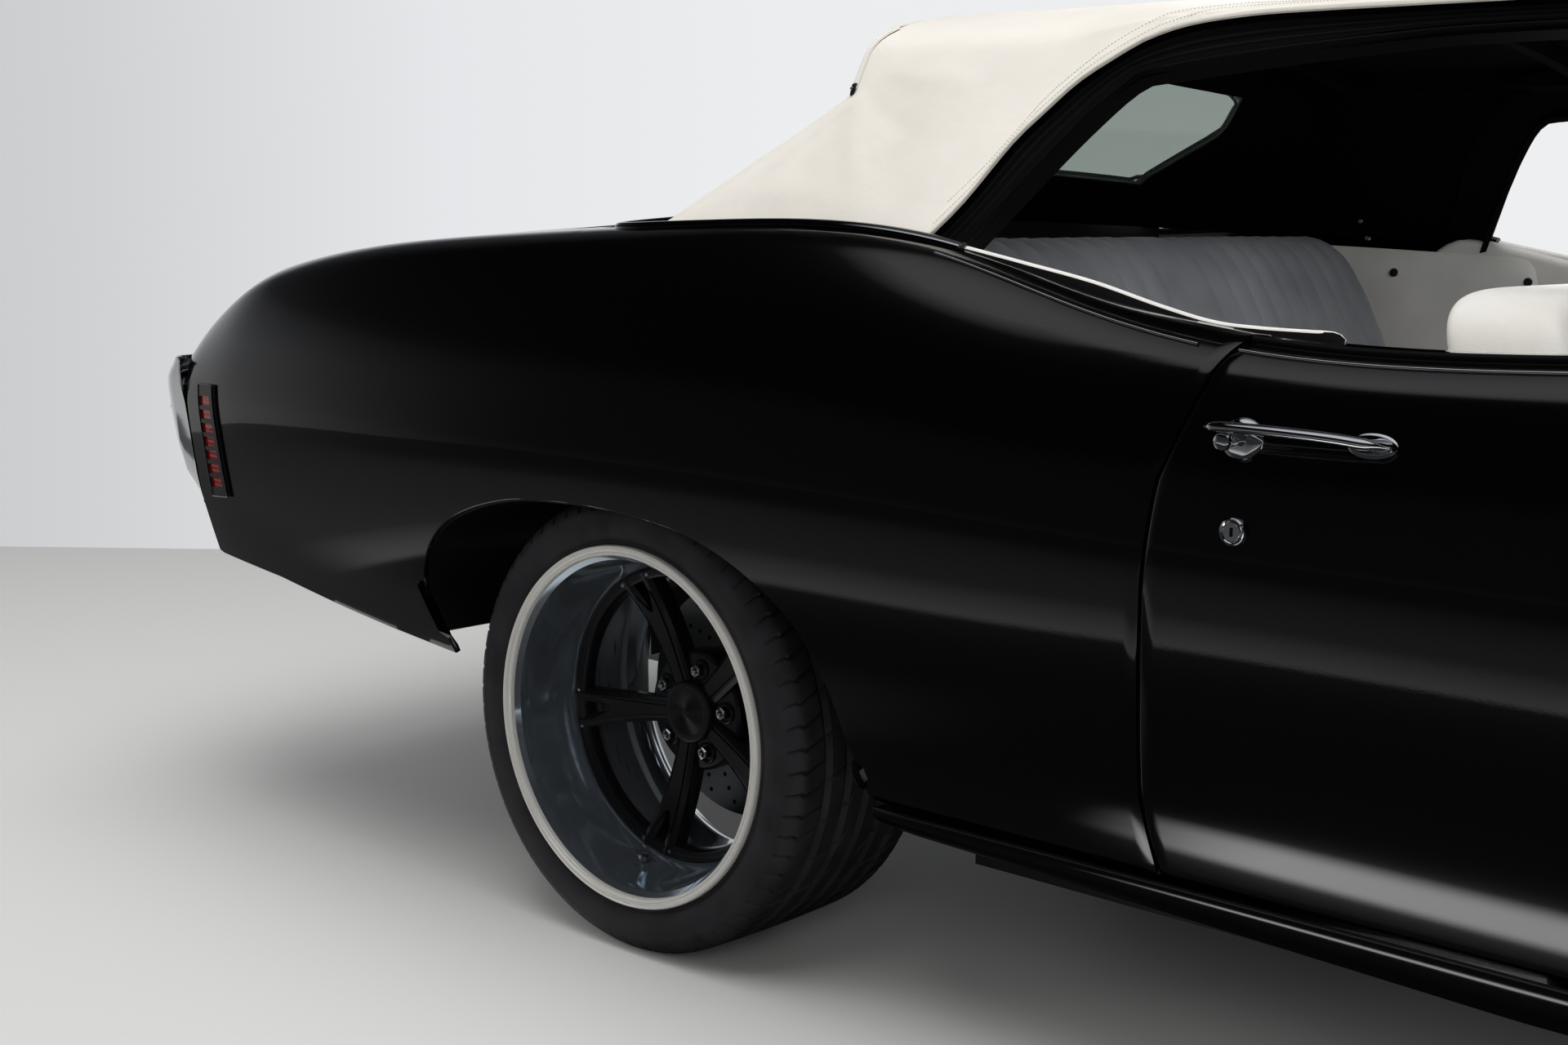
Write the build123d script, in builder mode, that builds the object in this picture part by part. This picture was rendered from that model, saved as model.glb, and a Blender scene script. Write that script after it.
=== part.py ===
# Two-door convertible muscle car of the early 1970s, lowered, on deep-dish eighteen-inch wheels.
# Frame: +X forward, +Y to the car's left, +Z up; origin on the ground at mid length. Millimetres.
from build123d import *
import math
import os

os.makedirs("parts", exist_ok=True)

# Driving dimensions
LENGTH = 5009.0
HALF_WIDTH = 957.0
WHEELBASE = 2845.0
REAR_OVERHANG = 1247.0
X_TAIL = -LENGTH / 2
X_NOSE = LENGTH / 2
X_REAR = X_TAIL + REAR_OVERHANG
X_FRONT = X_REAR + WHEELBASE
AXLE_Z = 313.0
GAP = 5.0

# Wheels and tyres
TYRE_R = 313.0
LIP_R = 245.6
SEAT_R = 228.6
LUG_CIRCLE = 120.65
LUG_COUNT = 5
REAR_LIP_Y = 922.0
REAR_RIM_W = 282.0
REAR_RING = 102.0
REAR_ROTOR = 227.0
FRONT_LIP_Y = 915.0
FRONT_RIM_W = 228.0
FRONT_RING = 44.0
FRONT_ROTOR = 134.0
HUB_BORE_R = 32.0
KING_Y = 745.0

# Doors, side view
DOOR_FRONT = 718.0
DOOR_FOOT = 296.0
DOOR_INNER = 778.0
DOOR_SLANT = 22.0
HINGE_Y = 947.0
DOOR_REAR_EDGE = [(-438, 296), (-448, 391), (-446, 620), (-440, 729), (-402, 866), (-392, 940)]

# Hood and deck lid, plan view
HOOD_REAR = 735.0
HOOD_FRONT = 2330.0
HOOD_HALF = 722.0
DECK_FRONT = -1600.0
DECK_REAR = -2421.0
DECK_HALF = 700.0
DECK_FOOT = 745.0

# Body, one row per station; half sections from the rocker over the shoulder to the centre line.
# Columns: x, shoulder z, shoulder y, widest y, widest z, crease y, foot y, crown z
SIDE_ROWS = [
    (-2440, 742, 806, 868, 640, 856, 836, 752),
    (-2390, 790, 812, 880, 642, 866, 845, 800),
    (-2330, 833, 816, 890, 643, 875, 853, 845),
    (-2240, 878, 820, 903, 644, 888, 864, 892),
    (-2145, 904, 822, 914, 645, 900, 872, 922),
    (-1700, 955, 812, 948, 640, 932, 896, 972),
    (X_REAR, 977, 800, HALF_WIDTH, 640, 940, 902, 996),
    (-860, 963, 803, 952, 635, 934, 900, 984),
    (-620, 906, 832, 947, 630, 929, 899, 934),
    (-410, 871, 858, 945, 625, 925, 898, 906),
    (60, 873, 866, 945, 620, 923, 898, 908),
    (DOOR_FRONT, 884, 862, 942, 620, 920, 898, 922),
    (1250, 880, 846, 944, 625, 924, 898, 922),
    (X_FRONT, 868, 836, 948, 630, 930, 896, 912),
    (2050, 836, 816, 922, 622, 908, 876, 880),
    (2440, 792, 786, 862, 604, 850, 828, 826),
]
CREASE_Z = 378.0
ROCKER_Z = 225.0
ROCKER_TUCK = 44.0
SHOULDER_R = 34.0
WALL = 55.0
TOP_WALL = 34.0

# Wheel arches, side view
REAR_ARCH = [(-1640, 330), (-1639, 427), (-1624, 479), (-1597, 530), (-1546, 572), (-1475, 598)]
REAR_ARCH_TOP = [(-1309, 618), (-1140, 614), (-1040, 592), (-970, 558), (-908, 512), (-862, 420), (-840, 330)]
FRONT_ARCH_R = 360.0
REAR_HOUSE_R = 348.0
FRONT_HOUSE_R = 388.0


def save(piece, name):
    """Label a finished piece and write it."""
    piece.label = name
    export_step(piece, f"parts/{name}.step")


def both(right):
    """A right-hand piece and its mirror image as one node of two solids."""
    return Compound([right, mirror(right, about=Plane.XZ)])


def side_block(outline, y_from, y_to):
    """Side-view outline of x, z points, extruded on the right-hand side between two widths."""
    with BuildPart() as block:
        with BuildSketch(Plane.XZ.offset(y_from)):
            with BuildLine():
                Polyline(*outline, close=True)
            make_face()
        extrude(amount=y_to - y_from)
    return block.part


def plan_block(outline, z_from, z_to):
    """Plan-view outline of x, y points, extruded between two heights."""
    with BuildPart() as block:
        with BuildSketch(Plane.XY.offset(z_from)):
            with BuildLine():
                Polyline(*outline, close=True)
            make_face()
        extrude(amount=z_to - z_from)
    return block.part


def slab(x0, x1, y0, y1, z0, z1):
    """Straight-sided block between three pairs of limits."""
    return plan_block([(x0, y0), (x1, y0), (x1, y1), (x0, y1)], z0, z1)


def tube_y(radius, x, z, y_from, y_to, bore=0.0):
    """Round bar or tube lying across the car, its ends at two widths on the right-hand side."""
    with BuildPart() as bar:
        with BuildSketch(Plane.XZ.offset(y_from)):
            with Locations((x, z)):
                Circle(radius)
                if bore:
                    Circle(bore, mode=Mode.SUBTRACT)
        extrude(amount=y_to - y_from)
    return bar.part


def side_section(row):
    """Closed half section of the body's right-hand side at one station."""
    x, z_sh, y_sh, y_wide, z_wide, y_crease, y_foot, z_crown = row
    upper_r = ((y_wide - y_sh) ** 2 + (z_sh - z_wide) ** 2) / (2 * (y_wide - y_sh))
    lower_r = ((y_wide - y_crease) ** 2 + (z_wide - CREASE_Z) ** 2) / (2 * (y_wide - y_crease))
    turn = math.asin((z_sh - z_wide) / upper_r) - SHOULDER_R / upper_r
    side_end = (y_wide - upper_r * (1 - math.cos(turn)), z_wide + upper_r * math.sin(turn))
    upper_mid = (y_wide - upper_r * (1 - math.cos(turn / 2)), z_wide + upper_r * math.sin(turn / 2))
    drop = math.asin((z_wide - CREASE_Z) / lower_r)
    lower_mid = (y_wide - lower_r * (1 - math.cos(drop / 2)), z_wide - lower_r * math.sin(drop / 2))
    top_in = (y_sh - SHOULDER_R, z_sh + 2)
    round_mid = ((side_end[0] + top_in[0]) / 2 + 6, (side_end[1] + top_in[1]) / 2 + 8)
    rise = z_crown - top_in[1]
    crown_r = (top_in[0] ** 2 + rise**2) / (2 * rise)
    crown_mid = (top_in[0] / 2, z_crown - crown_r + math.sqrt(crown_r**2 - top_in[0] ** 2 / 4))
    station = Plane(origin=(x, 0, 0), x_dir=(0, -1, 0), z_dir=(-1, 0, 0))
    foot_in = (y_foot - ROCKER_TUCK, ROCKER_Z)
    foot_mid = (y_foot + 0.36 * (y_crease - y_foot), 336)
    with BuildSketch(station) as profile:
        with BuildLine():
            Line((0, ROCKER_Z), foot_in)
            ThreePointArc(foot_in, (y_foot + 1, ROCKER_Z + 30), (y_foot, DOOR_FOOT))
            ThreePointArc((y_foot, DOOR_FOOT), foot_mid, (y_crease, CREASE_Z))
            ThreePointArc((y_crease, CREASE_Z), lower_mid, (y_wide, z_wide))
            ThreePointArc((y_wide, z_wide), upper_mid, side_end)
            ThreePointArc(side_end, round_mid, top_in)
            ThreePointArc(top_in, crown_mid, (0, z_crown))
            Line((0, z_crown), (0, ROCKER_Z))
        make_face()
    return profile.sketch


with BuildPart() as body_half:
    loft([side_section(row) for row in SIDE_ROWS])
body = body_half.part
inner_side = body.moved(Location((0, WALL, -TOP_WALL)))
inner_top = body.moved(Location((0, 0, -TOP_WALL)))


def door_outline(width, grow):
    """Side view of the door at one half width: its rear edge slants forward towards the inside."""
    shift = DOOR_SLANT * (HALF_WIDTH - width) / (HALF_WIDTH - DOOR_INNER)
    rear = [(x + shift - grow, z) for x, z in DOOR_REAR_EDGE]
    rear[0] = (rear[0][0], rear[0][1] - grow)
    front = [(DOOR_FRONT + grow, DOOR_REAR_EDGE[-1][1]), (DOOR_FRONT + grow, DOOR_FOOT - grow)]
    return rear + front


def door_cutter(width_in, width_out, grow):
    """Ruled solid of the door's outline between two half widths."""
    with BuildPart() as cutter:
        for width in (width_in, width_out):
            with BuildSketch(Plane.XZ.offset(width)):
                with BuildLine():
                    Polyline(*door_outline(width, grow), close=True)
                make_face()
        loft(ruled=True)
    return cutter.part


# Doors
with BuildPart() as door_right:
    add(body)
    add(door_cutter(DOOR_INNER, 990, 0), mode=Mode.INTERSECT)
save(door_right.part, "door_right")
save(mirror(door_right.part, about=Plane.XZ), "door_left")
door_hole = door_cutter(DOOR_INNER - 60, 1010, GAP)

# Rear quarter: side wall and deck edge, cut for the wheel, the lid, the top well and the bumper.
rear_house = tube_y(REAR_HOUSE_R, X_REAR, AXLE_Z, 560, REAR_LIP_Y + 14)
rear_arch = side_block(REAR_ARCH + REAR_ARCH_TOP, 800, 1000)
QUARTER_VIEW = [
    (-365, 216), (-365, 1010), (DECK_REAR, 1010), (DECK_REAR, 755), (-2395, 741), (-2358, 666), (-2335, 589),
    (-2311, 509), (-2262, 425), (-2055, 412), (-1887, 393), (-1640, 345), (-1300, 216),
]
WELL_HALF = 742.0
with BuildPart() as quarter:
    add(body)
    add(side_block(QUARTER_VIEW, 0, 1000), mode=Mode.INTERSECT)
    add(inner_side, mode=Mode.SUBTRACT)
    add(slab(-2500, 0, -DECK_HALF - GAP, 10, 200, 1020), mode=Mode.SUBTRACT)
    add(slab(-1480, 0, -WELL_HALF, 10, 200, 1020), mode=Mode.SUBTRACT)
    add(slab(-1000, 0, -990, 10, 200, DOOR_FOOT - GAP), mode=Mode.SUBTRACT)
    add(rear_house, mode=Mode.SUBTRACT)
    add(rear_arch, mode=Mode.SUBTRACT)
    add(door_hole, mode=Mode.SUBTRACT)
save(quarter.part, "quarter_right")
save(mirror(quarter.part, about=Plane.XZ), "quarter_left")

# Front fender
FENDER_VIEW = [
    (725, 288), (725, 1010), (2300, 1010), (2372, 806), (2412, 740), (2424, 640), (2414, 592), (2318, 592),
    (2300, 460), (2240, 400), (1960, 300), (1600, 330), (1240, 288),
]
front_arch = tube_y(FRONT_ARCH_R, X_FRONT, AXLE_Z, 700, 1000)
with BuildPart() as fender:
    add(body)
    add(side_block(FENDER_VIEW, 0, 1000), mode=Mode.INTERSECT)
    add(inner_side, mode=Mode.SUBTRACT)
    add(slab(600, 2500, -HOOD_HALF - GAP, 10, 200, 1020), mode=Mode.SUBTRACT)
    add(front_arch, mode=Mode.SUBTRACT)
    add(door_hole, mode=Mode.SUBTRACT)
save(fender.part, "fender_right")
save(mirror(fender.part, about=Plane.XZ), "fender_left")

# Hood and deck lid
with BuildPart() as hood_half:
    add(body)
    add(slab(HOOD_REAR, HOOD_FRONT, -HOOD_HALF, 0, 700, 1020), mode=Mode.INTERSECT)
    add(inner_top, mode=Mode.SUBTRACT)
BULGE = [(1010, 0), (1010, -200), (1060, -250), (1900, -232), (2020, -170), (2020, 0)]
BULGE_RISE = 22.0
with BuildPart() as bulge_half:
    add(body.moved(Location((0, 0, BULGE_RISE))))
    add(plan_block(BULGE, 700, 1020), mode=Mode.INTERSECT)
    add(inner_top, mode=Mode.SUBTRACT)
with BuildPart() as hood:
    add(hood_half.part)
    add(bulge_half.part)
    mirror(about=Plane.XZ)
save(hood.part, "hood")

with BuildPart() as deck_half:
    add(body)
    add(slab(DECK_REAR, DECK_FRONT, -DECK_HALF, 0, DECK_FOOT, 1020), mode=Mode.INTERSECT)
    add(inner_top, mode=Mode.SUBTRACT)
with BuildPart() as deck_lid:
    add(deck_half.part)
    mirror(about=Plane.XZ)
save(deck_lid.part, "deck_lid")

# Rockers under the doors, from arch to arch
with BuildPart() as rocker:
    add(body)
    add(slab(-840, 1226, -990, -778, 216, 288), mode=Mode.INTERSECT)
    add(inner_side, mode=Mode.SUBTRACT)
    add(rear_arch, mode=Mode.SUBTRACT)
    add(front_arch, mode=Mode.SUBTRACT)
save(both(rocker.part), "rocker_panels")

# Perimeter frame: plan path and side path of each rail, met as one bent box section
RAIL_PLAN_OUT = [(-2345, 560), (-1560, 560), (-900, 592), (-780, 770), (980, 770), (1160, 440), (2330, 440)]
RAIL_PLAN_IN = [(2330, 350), (1120, 350), (940, 690), (-720, 690), (-850, 505), (-1560, 475), (-2345, 475)]
RAIL_SIDE_TOP = [
    (-2345, 470), (-1599, 470), (-1540, 545), (-1000, 545), (-882, 290),
    (1020, 290), (1180, 400), (2330, 400),
]
RAIL_SIDE_LOW = [
    (2330, 300), (1210, 300), (1050, 200), (-890, 200), (-1040, 450),
    (-1530, 450), (-1660, 375), (-2345, 375),
]
CROSS_MEMBERS = [
    (2200, 2260, -360, 360, 310, 390), (1540, 1640, -360, 360, 170, 300), (1540, 1640, -440, -350, 170, 310),
    (1540, 1640, 350, 440, 170, 310), (420, 500, -700, 700, 256, 286), (-1660, -1600, -480, 480, 400, 450),
    (-2345, -2300, -480, 480, 385, 460),
]
with BuildPart() as rail:
    add(side_block(RAIL_SIDE_TOP + RAIL_SIDE_LOW, 300, 800))
    add(plan_block([(x, -y) for x, y in RAIL_PLAN_OUT + RAIL_PLAN_IN], 100, 700), mode=Mode.INTERSECT)
with BuildPart() as frame:
    add(rail.part)
    mirror(about=Plane.XZ)
    for x0, x1, y0, y1, z0, z1 in CROSS_MEMBERS:
        add(slab(x0, x1, y0, y1, z0, z1))
save(frame.part, "frame")

# Cabin floor with its tunnel, the heel board and the boot floor
BULKHEAD_X = 728.0
FLOOR_HALF = 776.0
FLOOR_Z = 292.0
TUNNEL_Z = 430.0
HEEL_X = -860.0
BOOT_STEP_X = -1600.0
BOOT_Z = 478.0
with BuildPart() as floor_pan:
    with BuildSketch(Plane.YZ.offset(HEEL_X)):
        with BuildLine():
            Polyline(
                (-FLOOR_HALF, FLOOR_Z), (-170, FLOOR_Z), (-120, TUNNEL_Z), (120, TUNNEL_Z), (170, FLOOR_Z),
                (FLOOR_HALF, FLOOR_Z), (FLOOR_HALF, FLOOR_Z + 6), (176, FLOOR_Z + 6), (126, TUNNEL_Z + 7),
                (-126, TUNNEL_Z + 7), (-176, FLOOR_Z + 6), (-FLOOR_HALF, FLOOR_Z + 6), close=True,
            )
        make_face()
    extrude(amount=BULKHEAD_X - HEEL_X)
    add(slab(HEEL_X - 6, HEEL_X, -FLOOR_HALF, FLOOR_HALF, FLOOR_Z, 552))
    add(slab(BOOT_STEP_X, HEEL_X - 6, -590, 590, 546, 552))
    add(slab(BOOT_STEP_X - 6, BOOT_STEP_X, -590, 590, BOOT_Z - 6, 552))
    add(slab(-2345, BOOT_STEP_X - 6, -700, 700, BOOT_Z - 6, BOOT_Z))
save(floor_pan.part, "floor_pan")

# Bulkhead, hinge pillars and cowl
PILLAR_TOP = 840.0
with BuildPart() as bulkhead:
    add(slab(BULKHEAD_X, BULKHEAD_X + 6, -FLOOR_HALF, FLOOR_HALF, FLOOR_Z, PILLAR_TOP))
    add(slab(BULKHEAD_X, BULKHEAD_X + 6, -716, 716, PILLAR_TOP, 884))
    add(slab(BULKHEAD_X + 6, 800, -FLOOR_HALF, -700, 300, PILLAR_TOP))
    add(slab(BULKHEAD_X + 6, 800, 700, FLOOR_HALF, 300, PILLAR_TOP))
    add(slab(560, 722, -770, 770, 880, 890))
    add(slab(700, 730, -716, 716, 878, 890))
save(bulkhead.part, "bulkhead")

# Inner wheelhouses: an arched tunnel and its inboard wall
def house(x, radius, y_in, y_out, skin, z_low):
    """Half-round tunnel over a wheel, closed on its inner side."""
    with BuildPart() as arch:
        add(tube_y(radius, x, AXLE_Z, y_in, y_out))
        add(tube_y(radius - skin, x, AXLE_Z, y_in + skin, y_out + 1), mode=Mode.SUBTRACT)
        add(slab(x - 500, x + 500, -y_out - 5, -y_in + 5, -200, z_low), mode=Mode.SUBTRACT)
    return arch.part


rear_house_right = house(X_REAR, REAR_HOUSE_R - 0.5, 596, 800, 5, 556)
front_house_right = house(X_FRONT, FRONT_HOUSE_R, 452, 800, 5, 520)
APRON_VIEW = [(806, 690), (806, 838), (1600, 826), (2050, 795), (2300, 760), (2300, 690)]
with BuildPart() as apron:
    add(front_house_right)
    add(side_block(APRON_VIEW, 700, 706))
save(both(apron.part), "inner_fenders")
save(both(rear_house_right), "rear_wheelhouses")

# Tail panel between the quarters, bumpers, lamps
TAIL_FACE = -2388.0
FILLER_FRONT = -1470.0
with BuildPart() as deck_filler:
    add(body)
    add(slab(DECK_FRONT + GAP, FILLER_FRONT, -DECK_HALF - GAP, 0, 700, 1020), mode=Mode.INTERSECT)
    add(inner_top, mode=Mode.SUBTRACT)
    mirror(about=Plane.XZ)
with BuildPart() as tail_panel:
    add(slab(TAIL_FACE, TAIL_FACE + 6, -DECK_HALF, DECK_HALF, 510, DECK_FOOT))
    add(deck_filler.part)
save(Compound(tail_panel.part.solids()), "tail_panel")

BUMPER_TOP = 738.0
BUMPER_FOOT = 503.0
REAR_CUT = [
    (-2399, 741), (-2362, 666), (-2339, 589), (-2315, 509), (-2315, 490),
    (-2100, 490), (-2100, 760), (-2399, 760),
]
FRONT_CUT = [(2318, 440), (2322, 600), (2100, 600), (2100, 440)]


def wrap_face(z, x_end, x_corner, x_mid, half_end, half, depth):
    """Level section of a bar bowed across the car, its ends wrapped along the body's sides."""
    inner = depth if x_mid > 0 else -depth
    x_back = x_corner - inner
    with BuildSketch(Plane.XY.offset(z)) as face:
        with BuildLine():
            Line((x_end, half_end), (x_corner, half))
            ThreePointArc((x_corner, half), (x_mid, 0), (x_corner, -half))
            Line((x_corner, -half), (x_end, -half_end))
            Line((x_end, -half_end), (x_end, depth - half_end))
            Line((x_end, depth - half_end), (x_back, depth - half))
            ThreePointArc((x_back, depth - half), (x_mid - inner, 0), (x_back, half - depth))
            Line((x_back, half - depth), (x_end, half_end - depth))
            Line((x_end, half_end - depth), (x_end, half_end))
        make_face()
    return face.sketch


def wrap_bar(profile, x_end, x_corner, x_mid, half_end, half, depth):
    """Bowed bar lofted through level sections; the profile lists heights and how far each lies inwards."""
    sign = 1 if x_mid > 0 else -1
    with BuildPart() as bar:
        levels = [(z, x_corner - back * sign, x_mid - back * sign, half - back / 4) for z, back in profile]
        faces = [wrap_face(z, x_end, corner, mid, half_end, wide, depth) for z, corner, mid, wide in levels]
        loft(faces, ruled=True)
    return bar.part


# Rear bumper with its lamp openings and the number plate's recess, and the lamps behind its face
REAR_PROFILE = [(BUMPER_FOOT, 34), (600, 8), (677, 0), (718, 10), (BUMPER_TOP, 28)]
REAR_BAR = (-2300, -2420, X_TAIL, 893, 868)
LAMP_SPAN = (470.0, 700.0)
LAMP_BAND = (586.0, 684.0)
PLATE_FACE = -2496.0
PLATE_HALF = 165.0
PLATE_HOLES = 178.0
PLATE_HOLE_Z = 660.0
with BuildPart() as rear_bumper:
    add(wrap_bar(REAR_PROFILE, *REAR_BAR, 22))
    add(side_block(REAR_CUT, -1000, 1000), mode=Mode.SUBTRACT)
    for side in (-1, 1):
        near, far = sorted((side * LAMP_SPAN[0], side * LAMP_SPAN[1]))
        add(slab(-2600, -2380, near, far, *LAMP_BAND), mode=Mode.SUBTRACT)
    add(slab(-2600, PLATE_FACE, -PLATE_HALF, PLATE_HALF, 560, 700), mode=Mode.SUBTRACT)
    with BuildSketch(Plane.YZ.offset(-2560)):
        with Locations((-PLATE_HOLES / 2, PLATE_HOLE_Z), (PLATE_HOLES / 2, PLATE_HOLE_Z)):
            Circle(3.5)
    extrude(amount=140, mode=Mode.SUBTRACT)
save(rear_bumper.part, "rear_bumper")

with BuildPart() as tail_lamps:
    add(wrap_bar([(z, back + 6) for z, back in REAR_PROFILE], *REAR_BAR, 12))
    add(
        slab(-2600, -2380, LAMP_SPAN[0] + 2, LAMP_SPAN[1] - 2, LAMP_BAND[0] + 2, LAMP_BAND[1] - 2),
        mode=Mode.INTERSECT,
    )
save(both(mirror(tail_lamps.part, about=Plane.XZ)), "tail_lamps")

FRONT_PROFILE = [(470, 26), (494, 6), (525, 0), (556, 6), (580, 26)]
with BuildPart() as front_bumper:
    add(wrap_bar(FRONT_PROFILE, 2330, 2440, X_NOSE, 890, 862, 22))
save(front_bumper.part, "front_bumper")

with BuildPart() as valances:
    add(wrap_bar([(418, 26), (497, 0)], -2312, -2340, -2420, 842, 830, 8))
    add(wrap_bar([(380, 30), (464, 0)], 2306, 2380, 2440, 846, 820, 8))
save(Compound(valances.part.solids()), "valances")

# Nose: the header continues the hood, the grille and the lamp panels stand back from it
NOSE_FACE = 2396.0
GRILLE_HALF = 410.0
GRILLE_BAND = (596, 770)
GRILLE_PITCH = 26
LAMP_PLACES = [(496, 690), (648, 690)]
LAMP_R = 68.0
with BuildPart() as header_panel:
    add(body)
    add(slab(HOOD_FRONT + GAP, 2424, -HOOD_HALF - GAP, 0, 700, 1020), mode=Mode.INTERSECT)
    add(inner_top, mode=Mode.SUBTRACT)
    mirror(about=Plane.XZ)
save(header_panel.part, "header_panel")

with BuildPart() as grille:
    add(slab(NOSE_FACE - 30, NOSE_FACE - 24, -GRILLE_HALF, GRILLE_HALF, *GRILLE_BAND))
    for z in range(612, 770, GRILLE_PITCH):
        add(slab(NOSE_FACE - 30, NOSE_FACE - 4, -GRILLE_HALF, GRILLE_HALF, z, z + 7))
    for side in (-1, 1):
        near, far = sorted((side * GRILLE_HALF, side * HOOD_HALF))
        add(slab(NOSE_FACE - 30, NOSE_FACE - 4, near, far, *GRILLE_BAND))
    with BuildSketch(Plane.YZ.offset(NOSE_FACE - 14)):
        with Locations(*[(side * y, z) for side in (-1, 1) for y, z in LAMP_PLACES]):
            Circle(LAMP_R + 4)
    extrude(amount=20, mode=Mode.SUBTRACT)
save(grille.part, "grille")

with BuildPart() as lamps:
    with BuildSketch(Plane.YZ.offset(NOSE_FACE - 14)):
        with Locations(*[(side * y, z) for side in (-1, 1) for y, z in LAMP_PLACES]):
            Circle(LAMP_R)
    extrude(amount=14)
save(Compound(lamps.part.solids()), "headlamps")

# Windshield, its frame, the soft top and its frame
GLASS_FOOT = 892.0
GLASS_HEAD = 1222.0


def crescent(z, x_side, x_mid, half, depth):
    """Bowed strip across the car in a level plane, for lofting."""
    with BuildSketch(Plane.XY.offset(z)) as strip:
        with BuildLine():
            ThreePointArc((x_side, -half), (x_mid, 0), (x_side, half))
            Line((x_side, half), (x_side - depth, half))
            ThreePointArc((x_side - depth, half), (x_mid - depth, 0), (x_side - depth, -half))
            Line((x_side - depth, -half), (x_side, -half))
        make_face()
    return strip.sketch


ROOF_MID = 1300.0
ROOF_DROP = 120.0
ROOF_HALF = 820.0


def below_arch(drop, x_from, x_to, half=ROOF_HALF):
    """Everything under the roof's arch, lowered by a drop, between two stations."""
    eaves = ROOF_MID - ROOF_DROP - drop
    with BuildPart() as under:
        with BuildSketch(Plane.YZ.offset(x_from)):
            with BuildLine():
                Line((-ROOF_HALF, 850), (-ROOF_HALF, eaves))
                ThreePointArc((-ROOF_HALF, eaves), (0, ROOF_MID - drop), (ROOF_HALF, eaves))
                Line((ROOF_HALF, eaves), (ROOF_HALF, 850))
                Line((ROOF_HALF, 850), (-ROOF_HALF, 850))
            make_face()
            Rectangle(2 * half, 4000, mode=Mode.INTERSECT)
        extrude(amount=x_to - x_from)
    return under.part


under_header = below_arch(52, 100, 800)
with BuildPart() as windshield:
    loft([crescent(GLASS_FOOT, 612, 712, 690, 8), crescent(1262, 224, 286, 560, 8)], ruled=True)
    add(under_header, mode=Mode.INTERSECT)
save(windshield.part, "windshield")

with BuildPart() as pillar:
    with BuildSketch(Plane.XY.offset(892)):
        with Locations((606, -718)):
            Rectangle(60, 48)
    with BuildSketch(Plane.XY.offset(1216)):
        with Locations((244, -602)):
            Rectangle(56, 44)
    loft(ruled=True)
with BuildPart() as header_bar:
    with BuildSketch(Plane.XY.offset(1100)):
        add(crescent(0, 272, 330, 583, 76))
    extrude(amount=250)
    add(below_arch(16, 100, 800), mode=Mode.INTERSECT)
    add(below_arch(51, 90, 810), mode=Mode.SUBTRACT)
with BuildPart() as windshield_frame:
    add(pillar.part)
    mirror(about=Plane.XZ)
    add(header_bar.part)
save(windshield_frame.part, "windshield_frame")

# Folding top, raised. Rings give height, half width, and the back's station at the corner and in the middle
TOP_RINGS = [
    (940, 791, -1423, -1609), (985, 760, -1358, -1545), (1150, 647, -1120, -1310), (1215, 603, -1127, -1275),
    (1330, 530, -1090, -1200),
]
CLOTH = 14.0
TOP_OVERRUN = 400.0
RAIL = 30.0
RAIL_FRONT = 190.0
BOW_WIDTH = 24.0
BOW_PLACES = (-1020, -610, -200)


def top_ring(z, half, x_corner, x_mid, inset):
    """Level outline of the raised top: straight sides and a bowed back."""
    wide = half - inset
    corner = x_corner + inset
    with BuildSketch(Plane.XY.offset(z)) as ring:
        with BuildLine():
            Line((TOP_OVERRUN, -wide), (corner, -wide))
            ThreePointArc((corner, -wide), (x_mid + inset, 0), (corner, wide))
            Line((corner, wide), (TOP_OVERRUN, wide))
            Line((TOP_OVERRUN, wide), (TOP_OVERRUN, -wide))
        make_face()
    return ring.sketch


def top_form(inset):
    """Whole outer form of the raised top, drawn in by an inset."""
    with BuildPart() as form:
        loft([top_ring(z, half, corner, mid, inset) for z, half, corner, mid in TOP_RINGS], ruled=True)
        add(below_arch(inset, -1700, 500), mode=Mode.INTERSECT)
    return form.part


with BuildPart() as top_front:
    with BuildSketch(Plane.XY.offset(900)):
        with BuildLine():
            ThreePointArc((266, -ROOF_HALF), (326, 0), (266, ROOF_HALF))
            Line((266, ROOF_HALF), (700, ROOF_HALF))
            Line((700, ROOF_HALF), (700, -ROOF_HALF))
            Line((700, -ROOF_HALF), (266, -ROOF_HALF))
        make_face()
    extrude(amount=500)
top_front = top_front.part
rear_glass_hole = slab(-1700, -1130, -440, 440, 1048, 1198)
with BuildPart() as rear_window:
    add(top_form(4))
    add(top_form(9), mode=Mode.SUBTRACT)
    add(rear_glass_hole, mode=Mode.INTERSECT)
save(rear_window.part, "rear_window")

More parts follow.
